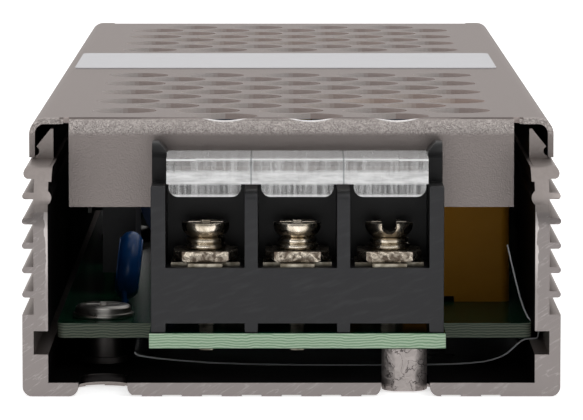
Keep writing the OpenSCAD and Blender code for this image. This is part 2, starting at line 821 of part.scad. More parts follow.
module tab_area() {
    r = 1;
    translate([0, -tab_h + r]) square([tab_w, tab_h]);
    translate([r, -tab_h]) square([tab_w - 2*r, tab_h]);
    for (x = [r, tab_w - r]) translate([x, r - tab_h]) circle(r);
}

module input_block() { color("#37373a") at_input() block(input_poles); }
module input_contacts() { color("#c8c4ba") at_input() contacts(input_poles); }
module input_lid() { color("#dfe6e8") at_input() lid(input_poles); }
module input_clamp(k) { color("#b9b4aa") at_input() clamp_plate(k, input_poles); }
module input_screw(k) { color("#cfcac0") at_input() terminal_screw(k, input_poles); }
module output_block() { color("#37373a") at_output() block(output_poles); }
module output_contacts() { color("#c8c4ba") at_output() contacts(output_poles); }
module output_lid() { color("#dfe6e8") at_output() lid(output_poles); }
module output_clamp(k) { color("#b9b4aa") at_output() clamp_plate(k, output_poles); }
module output_screw(k) { color("#cfcac0") at_output() terminal_screw(k, output_poles); }

// ---------- parts on the board ----------

module fuse() {
    cap_len = fuse_len/4;
    color("#d9d5c8") translate([fuse_pos[0] - fuse_len/2, fuse_pos[1], board_top + fuse_d/2 + fuse_lift])
        rotate([0, 90, 0]) {
            cylinder(d = fuse_d - 0.4, h = fuse_len);
            for (x = [0, fuse_len - cap_len]) translate([0, 0, x]) cylinder(d = fuse_d, h = cap_len);
        }
}

module fuse_clips() {
    z = fuse_d/2 + fuse_lift;
    clip_w = fuse_len/5;
    color("#c8c4ba") for (s = [-1, 1]) translate([fuse_pos[0] + s*fuse_len*0.375 + clip_w/2,
            fuse_pos[1], board_top]) rotate([90, 0, -90]) linear_extrude(clip_w) difference() {
        union() {
            translate([0, z]) circle(fuse_d/2 + 0.55);
            translate([-fuse_d/2, 0]) square([fuse_d, z]);
        }
        translate([0, z]) circle(fuse_d/2 + bond);
        translate([-fuse_d/2 + 0.5, 0.5]) square([fuse_d - 1, 2*fuse_lift]);
        translate([-fuse_d/3, z]) square([fuse_d*2/3, fuse_d]);
    }
}

// A dipped disc with a rounded rim on two leads, its flat sides towards X
module disc_part(d, t, lead, lean) {
    rim = d/2 - t*0.3;
    rotate([0, lean, 0]) translate([0, 0, d/2 + lead]) rotate([0, 90, 0]) rotate_extrude() {
        translate([0, -t/2]) square([rim, t]);
        translate([0, -t*0.2]) square([d/2 - t*0.3, t*0.4]);
        intersection() {
            translate([d/2 - t*0.5, 0]) circle(t/2);
            translate([0, -t]) square([d, 2*t]);
        }
    }
    for (y = [-d/3, d/3]) translate([0, y, 0]) cylinder(d = pin_d, h = lead + d/4);
}

module inrush_limiter() {
    color("#3c4a3e") translate([limiter_pos[0], limiter_pos[1], board_top]) rotate(90)
        disc_part(limiter_d, limiter_t, 1.4, 0);
}

module safety_capacitor() {
    color("#1f5fa8") translate([y_cap_pos[0], y_cap_pos[1], board_top])
        disc_part(y_cap_d, y_cap_t, 0.5, y_cap_lean);
}

module suppression_capacitor() {
    color("#c79a34") translate([x_cap_pos[0] - x_cap[0]/2, x_cap_pos[1] - x_cap[1]/2, board_top])
        difference() {
            rounded_plate(x_cap, 0.9);
            translate([-1, x_cap[1]/6, -1]) cube([x_cap[0]*0.78, x_cap[1]*2/3, 1 + x_cap_foot]);
            translate([x_cap[0]/6, -1, -1]) cube([x_cap[0]/2, x_cap[1] + 2, 1 + x_cap_foot]);
        }
}

module choke_core() {
    window = 0.256*choke[0];
    color("#35363a") translate([choke_pos[0] - choke[0]/2, choke_pos[1] - choke[1]/2, board_top])
        difference() {
            cube(choke);
            for (x = [choke[0]*0.25, choke[0]*0.75]) translate([x - window/2, -1, choke_bar])
                cube([window, choke[1] + 2, choke[2] - 2*choke_bar]);
        }
}

module choke_windings() {
    depth = choke[1] - 2;
    wire_w = 1.4;
    start = (choke[2] - choke_turns*choke_turn)/2;
    color("#b4622c") for (s = [0, 1]) translate([choke_pos[0], choke_pos[1], board_top + start])
        mirror([s, 0, 0]) for (k = [0:choke_turns - 1])
            translate([choke[0]/2 + 0.4, -depth/2, k*choke_turn])
                cube([wire_w - 0.2*(k % 2), depth - 0.4*(k % 2), choke_turn]);
}

module bridge_rectifier() {
    lead = [pin_d, 1, bridge_lift + 0.1];
    color("#2c2c2e") translate([bridge_pos[0], bridge_pos[1], board_top + bridge_lift]) difference() {
        translate([-bridge[0]/2, -bridge[1]/2, 0]) cube(bridge);
        translate([-bridge[0], 0, bridge[2]*0.71]) rotate([0, 90, 0]) cylinder(d = 3.2, h = 3*bridge[0]);
        translate([0, -bridge[1]/2, bridge[2]]) rotate([45, 0, 0]) cube([2*bridge[0], 2.4, 2.4], center = true);
    }
    color("#c8c4ba") for (k = [-1.5:1.5])
        translate([bridge_pos[0] - lead[0]/2, bridge_pos[1] + k*bridge[1]/4 - lead[1]/2, board_top]) cube(lead);
}

module bulk_capacitors() {
    crimp = 0.08*bulk_len;
    color("#24324a") for (s = [-1, 1]) translate([bulk_pos[0] + s*(bulk_d/2 + 0.2),
            bulk_pos[1] - bulk_len/2, board_top + bulk_d/2]) rotate([-90, 0, 0]) rotate_extrude()
        difference() {
            square([bulk_d/2, bulk_len]);
            translate([bulk_d/2, crimp]) circle(0.7);
            translate([-1, bulk_len - 0.5]) square([bulk_d/2, 1]);
        }
}

// Body with its fixing tab, standing against a wall on the side of -X
module power_device(size) {
    pin_h = size[2]/5;
    pitch = 0.254*size[1];
    translate([0, -size[1]/2, pin_h]) {
        cube([size[0], size[1], 0.613*size[2]]);
        translate([0, 0, 0.2]) cube([0.29*size[0], size[1], size[2]]);
    }
    for (k = [-1, 0, 1]) translate([size[0]/2 - 0.4, k*pitch - 0.4, 0]) cube([pin_d, 0.8, pin_h + 0.1]);
}

module power_transistors() {
    color("#29292b") for (y = transistor_y)
        translate([-inner_x + pad_t, y, board_top]) power_device(transistor);
}

module output_diodes() {
    color("#29292b") for (y = diode_y)
        translate([inner_x - film_room - pad_t, y, board_top]) mirror([1, 0, 0]) power_device(transistor);
}

// A sprung bar that presses two devices on the wall, with an insulating pad behind them
module device_clips(x, ys) {
    spread = max(ys) - min(ys);
    w = transistor[1];
    bar_x = x + pad_t + transistor[0] + bond;
    translate([x, min(ys) - 0.6*w, board_top + 0.135*headroom])
        cube([pad_t - bond, spread + 1.2*w, 0.45*headroom]);
    for (y = ys) translate([bar_x, y - 0.4*w, board_top + 0.29*headroom]) cube([clip_t, 0.8*w, 0.17*headroom]);
    translate([bar_x, min(ys) - 0.4*w, board_top + 0.435*headroom])
        cube([clip_t, spread + 0.8*w, 0.097*headroom]);
}

module transistor_clips() {
    color("#8e8c88") device_clips(-inner_x, transistor_y);
}

module diode_clips() {
    color("#8e8c88") mirror([1, 0, 0]) device_clips(-inner_x + film_room, diode_y);
}

module drive_board() {
    color("#2f6b45") on_board(drive_pos[0], drive_pos[1], drive, 0.2);
    color("#222224") translate([drive_pos[0] + drive[0]/2 - tiny, drive_pos[1] - drive[1]/6,
            board_top + 0.4*drive[2]]) cube([1.5, drive[1]/3, 0.27*drive[2]]);
}

module transformer_core() {
    color("#4a4b4e") translate([core_pos[0], core_pos[1], board_top + core_lift]) difference() {
        translate([-core[0]/2, -core[1]/2 + coil_side, 0])
            cube([core[0], core[1] - 2*coil_side, core[2]]);
        for (x = [-window_x, window_x]) translate([x - window_w/2, -core[1], core_bar])
            cube([window_w, 2*core[1], core[2] - 2*core_bar]);
    }
}

module transformer_coil() {
    coil_z = core_bar + bond;
    coil_h = core[2] - 2*coil_z;
    coil_w = 2*window_x + window_w - 2*bond;
    flange = [coil_w + 1.2, coil_side, core_bar + core_lift - bond];
    color("#d8a92e") translate([core_pos[0], core_pos[1], board_top + core_lift]) {
        for (x = [-window_x, window_x]) translate([x - window_w/2 + bond, -core[1]/2 + 1, coil_z])
            cube([window_w - 2*bond, core[1] - 2, coil_h]);
        for (s = [0, 1]) mirror([0, s, 0]) translate([-coil_w/2, -core[1]/2, coil_z])
            rounded_plate([coil_w, coil_side - 0.1, coil_h], 1.2);
    }
    color("#2c2c2e") translate([core_pos[0], core_pos[1], board_top]) for (s = [0, 1]) mirror([0, s, 0])
        difference() {
            translate([-flange[0]/2, -core[1]/2 - 0.5, 0]) cube(flange + [0, 0, 2*bond]);
            translate([-flange[0]/2 + 2, -core[1]/2 - 1, -0.1]) cube([flange[0] - 4, 1.4, 1.5]);
        }
}

module output_choke() {
    hole = 0.412*toroid_d;
    bundle = 0.13*toroid_d;
    color("#b4622c") translate([toroid_pos[0], toroid_pos[1], board_top + toroid_h/2 + bundle/2])
        rotate_extrude() union() {
            translate([hole/2, -toroid_h/2]) square([(toroid_d - hole)/2, toroid_h]);
            for (z = [-1, 1]) translate([(toroid_d + hole)/4, z*toroid_h/2]) circle(bundle/2);
        }
}

module output_capacitors() {
    score = 0.3;
    color("#2b2f3a") for (x = out_cap_x) translate([x, out_cap_y, board_top]) difference() {
        rotate_extrude() difference() {
            square([out_cap_d/2, out_cap_h]);
            translate([out_cap_d/2, 0.1*out_cap_h]) circle(0.5);
        }
        for (a = [0, 90]) rotate(a) translate([-0.3*out_cap_d, -score/2, out_cap_h - 0.25])
            cube([0.6*out_cap_d, score, 1]);
    }
}

module optocouplers() {
    color("#e4e2dc") for (p = opto_pos) on_board(p[0], p[1], opto, 0.3);
}

module surface_parts() {
    color("#3b3b3e") for (k = [0:len(chip_x) - 1])
        on_board(chip_x[k], front + chip_share[k]*case_len, chip, 0.15);
}

module voltage_trimmer() {
    color("#2a5aa5") difference() {
        on_board(trimmer_pos[0], trimmer_pos[1], trimmer, 0.3);
        translate([trimmer_pos[0], trimmer_pos[1], board_top + trimmer_floor])
            cylinder(r = rotor_r + fit, h = 2*trimmer[2]);
    }
}

module trimmer_rotor() {
    slot = [1.45*rotor_r, 0.7, 0.9];
    color("#e9e7df") translate([trimmer_pos[0], trimmer_pos[1], board_top + trimmer_floor + fit]) difference() {
        cylinder(r = rotor_r, h = rotor_h);
        for (a = [0, 90]) rotate(a) translate([-slot[0]/2, -slot[1]/2, rotor_h - slot[2]])
            cube([slot[0], slot[1], 2*slot[2]]);
    }
}

module power_lamp() {
    height = 4;
    color("#7fbf5a") translate([lamp_pos[0], lamp_pos[1], board_top]) {
        cylinder(d = 1.2*lamp_d, h = height/4);
        cylinder(d = lamp_d, h = height);
        translate([0, 0, height]) sphere(lamp_d/2);
    }
}

chassis();
front_post();
standoffs();
insulating_film();
circuit_board();
board_screws();
top_cover();
cover_flanges();
label_panel();
input_block();
input_contacts();
input_lid();
input_clamp(0);  // input_clamp_1
input_clamp(1);  // input_clamp_2
input_clamp(2);  // input_clamp_3
input_screw(0);  // input_screw_1
input_screw(1);  // input_screw_2
input_screw(2);  // input_screw_3
output_block();
output_contacts();
output_lid();
output_clamp(0);  // output_clamp_1
output_clamp(1);  // output_clamp_2
output_clamp(2);  // output_clamp_3
output_clamp(3);  // output_clamp_4
output_screw(0);  // output_screw_1
output_screw(1);  // output_screw_2
output_screw(2);  // output_screw_3
output_screw(3);  // output_screw_4
fuse();
fuse_clips();
inrush_limiter();
suppression_capacitor();
safety_capacitor();
choke_core();
choke_windings();
bridge_rectifier();
bulk_capacitors();
power_transistors();
transistor_clips();
drive_board();
transformer_core();
transformer_coil();
output_diodes();
diode_clips();
output_choke();
output_capacitors();
optocouplers();
surface_parts();
voltage_trimmer();
trimmer_rotor();
power_lamp();
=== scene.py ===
import math

import bpy
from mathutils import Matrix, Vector


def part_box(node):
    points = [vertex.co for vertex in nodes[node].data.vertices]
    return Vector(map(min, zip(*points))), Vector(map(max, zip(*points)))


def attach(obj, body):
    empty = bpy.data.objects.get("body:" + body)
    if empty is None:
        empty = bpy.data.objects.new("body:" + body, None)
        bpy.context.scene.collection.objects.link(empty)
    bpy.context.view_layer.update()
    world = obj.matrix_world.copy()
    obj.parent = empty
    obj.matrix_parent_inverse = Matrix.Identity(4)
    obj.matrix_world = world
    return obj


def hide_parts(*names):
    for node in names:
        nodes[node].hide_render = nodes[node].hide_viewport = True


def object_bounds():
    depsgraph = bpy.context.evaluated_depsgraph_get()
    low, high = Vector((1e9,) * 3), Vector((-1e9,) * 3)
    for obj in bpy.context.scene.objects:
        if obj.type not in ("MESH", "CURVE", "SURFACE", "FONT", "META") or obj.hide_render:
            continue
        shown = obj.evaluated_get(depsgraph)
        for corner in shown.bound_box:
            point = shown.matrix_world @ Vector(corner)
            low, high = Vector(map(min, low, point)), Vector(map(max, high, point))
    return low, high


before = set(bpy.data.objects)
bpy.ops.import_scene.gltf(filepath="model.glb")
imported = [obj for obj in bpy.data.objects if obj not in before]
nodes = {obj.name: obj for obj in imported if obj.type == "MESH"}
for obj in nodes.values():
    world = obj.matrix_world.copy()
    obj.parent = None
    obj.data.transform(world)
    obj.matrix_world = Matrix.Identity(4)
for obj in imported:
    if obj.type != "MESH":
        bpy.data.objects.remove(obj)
cadBox = [list(corner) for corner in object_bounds()]
mm = 0.001
bpy.ops.object.select_all(action="DESELECT")
print("frame loaded:", len(nodes), "nodes")


# sRGB hex value to the linear colour that a socket takes
def linear(hexColour):
    channels = [int(hexColour[k:k + 2], 16) / 255 for k in (1, 3, 5)]
    return [c / 12.92 if c <= 0.04045 else ((c + 0.055) / 1.055) ** 2.4 for c in channels] + [1.0]


# a node with its settings, and with each input set to a value or linked to a socket
def addNode(tree, kind, inputs=None, **settings):
    node = tree.nodes.new(kind)
    for name, value in settings.items():
        setattr(node, name, value)
    for name, value in (inputs or {}).items():
        if isinstance(value, bpy.types.NodeSocket):
            tree.links.new(value, node.inputs[name])
        else:
            node.inputs[name].default_value = value
    return node


# pattern scale from the sizes of its marks along X, Y and Z
def perMetre(sizesMm):
    return [1 / (size * mm) for size in sizesMm]


def newMaterial(name, baseColour, roughness, **sockets):
    material = bpy.data.materials.new(name)
    material.use_nodes = True
    tree = material.node_tree
    shader = tree.nodes["Principled BSDF"]
    shader.inputs["Base Color"].default_value = linear(baseColour)
    shader.inputs["Roughness"].default_value = roughness
    for socket, value in sockets.items():
        shader.inputs[socket.replace("_", " ")].default_value = value
    return material, tree, shader


# CAD nodes that need no more than a finish
def paint(material, *names):
    for name in names:
        piece = nodes[name]
        piece.data.materials.clear()
        piece.data.materials.append(material)


copying = {"mergeM": 2e-6, "flatDeg": 0.6, "smoothDeg": 30, "bevelFromDeg": 25}


# copies of CAD nodes made one piece, with loose triangles joined and edges softly rounded; an edge
# of 0 keeps them sharp
def softCopy(nodeNames, pieceName, edge, body, segments=2):
    if isinstance(nodeNames, str):
        nodeNames = [nodeNames]
    bpy.ops.object.select_all(action="DESELECT")
    for name in nodeNames:
        piece = nodes[name].copy()
        piece.data = nodes[name].data.copy()
        for key in list(piece.keys()):
            del piece[key]
        piece.parent = None
        bpy.context.scene.collection.objects.link(piece)
        piece.select_set(True)
        bpy.context.view_layer.objects.active = piece
    bpy.ops.object.mode_set(mode="EDIT")
    bpy.ops.mesh.select_all(action="SELECT")
    bpy.ops.mesh.remove_doubles(threshold=copying["mergeM"])
    if edge > 0:
        bpy.ops.mesh.dissolve_limited(angle_limit=math.radians(copying["flatDeg"]))
    bpy.ops.object.mode_set(mode="OBJECT")
    if len(nodeNames) > 1:
        bpy.ops.object.join()
    piece = bpy.context.object
    piece.name = pieceName
    if edge > 0:
        bevel = piece.modifiers.new("softEdges", "BEVEL")
        bevel.width = edge
        bevel.segments = segments
        bevel.limit_method = "ANGLE"
        bevel.angle_limit = math.radians(copying["bevelFromDeg"])
        bpy.ops.object.modifier_apply(modifier=bevel.name)
        bpy.ops.object.shade_smooth_by_angle(angle=math.radians(copying["smoothDeg"]))
        # large flat faces keep their own shading beside round edges
        weighted = piece.modifiers.new("flatFaces", "WEIGHTED_NORMAL")
        weighted.keep_sharp = True
        bpy.ops.object.modifier_apply(modifier=weighted.name)
    else:
        bpy.ops.object.shade_flat()
    piece.select_set(False)
    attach(piece, body)
    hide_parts(*nodeNames)
    return piece


# all of a piece above a height is squashed towards it
def pressFlat(piece, fromZ, share):
    bpy.context.view_layer.objects.active = piece
    piece.select_set(True)
    bpy.ops.object.mode_set(mode="EDIT")
    bpy.ops.mesh.select_mode(type="VERT")
    bpy.ops.mesh.select_all(action="DESELECT")
    bpy.ops.object.mode_set(mode="OBJECT")
    for vertex in piece.data.vertices:
        vertex.select = vertex.co.z > fromZ
    bpy.ops.object.mode_set(mode="EDIT")
    bpy.ops.transform.resize(value=(1, 1, share), center_override=(0, 0, fromZ))
    bpy.ops.object.mode_set(mode="OBJECT")
    piece.select_set(False)


# the finish and the material slot of a modelled piece
def dress(piece, material):
    piece.data.materials.clear()
    piece.data.materials.append(material)


# clear anodised, bead-blasted extrusion: soft warm grey metal with faint die lines along the case, paler
# sawn ends, and a smooth inside painted dark as painted shade
def anodisedExtrusion(inside):
    # inner is a painted shade colour, for the inside of the channel and for the walls of the floor's
    # cut-outs
    look = {"grey": "#918986", "light": "#9f9793", "cut": "#938c8a", "inner": "#242222", "burr": "#d5cecb",
            "grazing": "#e8e4e2", "roughness": 0.4,
            "grainMm": 0.12,  # blasting grit of about 0.05 mm, drawn coarser so that it shows
            "dieLineMm": (0.4, 83.3, 0.4), "sawMarkMm": (6.667, 20.0, 0.7), "sawTilt": 0.6, "sawShare": 0.3,
            "endMm": 0.25, "burrGrainMm": 1.111, "burrMm": 0.65,
            "relief": 0.35, "reliefMm": 0.03}
    material, tree, shader = newMaterial("anodisedExtrusion", look["grey"], look["roughness"], Metallic=1.0)
    place = addNode(tree, "ShaderNodeTexCoord")
    where = addNode(tree, "ShaderNodeSeparateXYZ", {"Vector": place.outputs["Object"]})
    lines = addNode(tree, "ShaderNodeMapping",
                    {"Vector": place.outputs["Object"], "Scale": perMetre(look["dieLineMm"])})
    streaks = addNode(tree, "ShaderNodeTexNoise",
                      {"Vector": lines.outputs["Vector"], "Scale": 1.0, "Detail": 3.0})
    grain = addNode(tree, "ShaderNodeTexNoise",
                    {"Vector": place.outputs["Object"], "Scale": 1 / (look["grainMm"] * mm), "Detail": 2.0})
    tone = addNode(tree, "ShaderNodeMix", {"Factor": streaks.outputs["Fac"], "A": linear(look["grey"]),
                                           "B": linear(look["light"])}, data_type="RGBA")
    # the inside of the channel: within the walls and above the floor, where the painted shade goes
    across = addNode(tree, "ShaderNodeMath", {0: where.outputs["X"]}, operation="ABSOLUTE")
    within = addNode(tree, "ShaderNodeMapRange",
                     {"Value": across.outputs[0], "From Min": inside["x"] + 0.4 * mm,
                      "From Max": inside["x"] + 0.2 * mm})
    above = addNode(tree, "ShaderNodeMapRange",
                    {"Value": where.outputs["Z"], "From Min": inside["z"] - 0.25 * mm,
                     "From Max": inside["z"] - 0.05 * mm})
    facing = addNode(tree, "ShaderNodeSeparateXYZ", {"Vector": place.outputs["Normal"]})
    sideOn = addNode(tree, "ShaderNodeMath", {0: facing.outputs["X"]}, operation="ABSOLUTE")
    isWall = addNode(tree, "ShaderNodeMath", {0: sideOn.outputs[0], 1: 0.6}, operation="GREATER_THAN")
    isFloor = addNode(tree, "ShaderNodeMath",
                      {0: where.outputs["Z"], 1: inside["slotTop"]}, operation="LESS_THAN")
    wallOrFloor = addNode(tree, "ShaderNodeMath", {0: isWall.outputs[0], 1: isFloor.outputs[0]},
                          operation="MAXIMUM")
    roomSide = addNode(tree, "ShaderNodeMath", {0: within.outputs["Result"], 1: above.outputs["Result"]},
                       operation="MULTIPLY")
    isInner = addNode(tree, "ShaderNodeMath", {0: roomSide.outputs[0], 1: wallOrFloor.outputs[0]},
                      operation="MULTIPLY")
    # cut-outs through the floor lie in its own shade
    deep = addNode(tree, "ShaderNodeMath",
                   {0: where.outputs["Z"], 1: inside["z"] - 0.1 * mm}, operation="LESS_THAN")
    fromMiddle = addNode(tree, "ShaderNodeMath", {0: where.outputs["Y"]}, operation="ABSOLUTE")
    offEnd = addNode(tree, "ShaderNodeMath",
                     {0: fromMiddle.outputs[0], 1: inside["y"] - look["endMm"] * mm}, operation="LESS_THAN")
    tilt = addNode(tree, "ShaderNodeMath", {0: facing.outputs["Z"]}, operation="ABSOLUTE")
    steep = addNode(tree, "ShaderNodeMath", {0: tilt.outputs[0], 1: 0.5}, operation="LESS_THAN")
    isNotch = addNode(tree, "ShaderNodeMath",
                      {0: deep.outputs[0], 1: offEnd.outputs[0]}, operation="MULTIPLY")
    notchWall = addNode(tree, "ShaderNodeMath",
                        {0: isNotch.outputs[0], 1: steep.outputs[0]}, operation="MULTIPLY")
    inFloor = addNode(tree, "ShaderNodeMath", {0: notchWall.outputs[0], 1: within.outputs["Result"]},
                      operation="MULTIPLY")
    shaded = addNode(tree, "ShaderNodeMath",
                     {0: isInner.outputs[0], 1: inFloor.outputs[0]}, operation="MAXIMUM")
    # the painted shade also dims the reflections there, through the specular tint
    edgeTint = addNode(tree, "ShaderNodeMix", {"Factor": shaded.outputs[0], "A": linear(look["grazing"]),
                                               "B": linear(look["inner"])}, data_type="RGBA")
    tree.links.new(edgeTint.outputs["Result"], shader.inputs["Specular Tint"])
    paintedShadeTone = addNode(tree, "ShaderNodeMix", {"Factor": shaded.outputs[0], "A": tone.outputs["Result"],
                                                "B": linear(look["inner"])}, data_type="RGBA")
    # sawn end faces, with slanting marks of the blade
    endOn = addNode(tree, "ShaderNodeMath", {0: facing.outputs["Y"]}, operation="ABSOLUTE")
    squareOn = addNode(tree, "ShaderNodeMapRange",
                       {"Value": endOn.outputs[0], "From Min": 0.9, "From Max": 0.97})
    atEnd = addNode(tree, "ShaderNodeMath", {0: 1.0, 1: offEnd.outputs[0]}, operation="SUBTRACT")
    isCut = addNode(tree, "ShaderNodeMath", {0: squareOn.outputs["Result"], 1: atEnd.outputs[0]},
                    operation="MULTIPLY")
    turned = addNode(tree, "ShaderNodeMapping",
                     {"Vector": place.outputs["Object"], "Rotation": (0, look["sawTilt"], 0)})
    sawn = addNode(tree, "ShaderNodeMapping",
                   {"Vector": turned.outputs["Vector"], "Scale": perMetre(look["sawMarkMm"])})
    marks = addNode(tree, "ShaderNodeTexNoise",
                    {"Vector": sawn.outputs["Vector"], "Scale": 1.0, "Detail": 5.0})
    ridge = addNode(tree, "ShaderNodeMath", {0: marks.outputs["Fac"], 1: 0.52}, operation="SUBTRACT")
    ridgeAway = addNode(tree, "ShaderNodeMath", {0: ridge.outputs[0]}, operation="ABSOLUTE")
    thin = addNode(tree, "ShaderNodeMapRange", {"Value": ridgeAway.outputs[0], "From Min": 0.012,
                                                "From Max": 0.002, "To Max": look["sawShare"]})
    # the saw leaves a bright, ragged burr along the inner edge of the walls
    ragged = addNode(tree, "ShaderNodeTexNoise",
                     {"Vector": place.outputs["Object"], "Scale": 1 / (look["burrGrainMm"] * mm),
                      "Detail": 3.0})
    burrEdge = addNode(tree, "ShaderNodeMapRange",
                       {"Value": ragged.outputs["Fac"], "To Min": inside["x"] - 0.1 * mm,
                        "To Max": inside["x"] + look["burrMm"] * mm})
    isBurr = addNode(tree, "ShaderNodeMath", {0: across.outputs[0], 1: burrEdge.outputs["Result"]},
                     operation="LESS_THAN")
    high = addNode(tree, "ShaderNodeMapRange", {"Value": where.outputs["Z"], "From Min": inside["burrZ"],
                                                "From Max": inside["burrZ"] + 3 * mm, "To Min": 0.15,
                                                "To Max": 0.9})
    burr = addNode(tree, "ShaderNodeMath",
                   {0: isBurr.outputs[0], 1: high.outputs["Result"]}, operation="MULTIPLY")
    overSlot = addNode(tree, "ShaderNodeMath", {0: where.outputs["Z"], 1: inside["slotTop"] + 3 * mm},
                       operation="GREATER_THAN")
    burrHere = addNode(tree, "ShaderNodeMath",
                       {0: burr.outputs[0], 1: overSlot.outputs[0]}, operation="MULTIPLY")
    scratch = addNode(tree, "ShaderNodeMath", {0: thin.outputs["Result"], 1: burrHere.outputs[0]},
                      operation="MAXIMUM")
    cutTone = addNode(tree, "ShaderNodeMix", {"Factor": scratch.outputs[0], "A": linear(look["cut"]),
                                              "B": linear(look["burr"])}, data_type="RGBA")
    endTone = addNode(tree, "ShaderNodeMix", {"Factor": isCut.outputs[0], "A": paintedShadeTone.outputs["Result"],
                                              "B": cutTone.outputs["Result"]}, data_type="RGBA")
    heights = addNode(tree, "ShaderNodeMix", {"Factor": isCut.outputs[0], "A": grain.outputs["Fac"],
                                              "B": marks.outputs["Fac"]})
    relief = addNode(tree, "ShaderNodeBump",
                     {"Height": heights.outputs["Result"], "Strength": look["relief"],
                      "Distance": look["reliefMm"] * mm})
    tree.links.new(endTone.outputs["Result"], shader.inputs["Base Color"])
    tree.links.new(relief.outputs["Normal"], shader.inputs["Normal"])
    return material
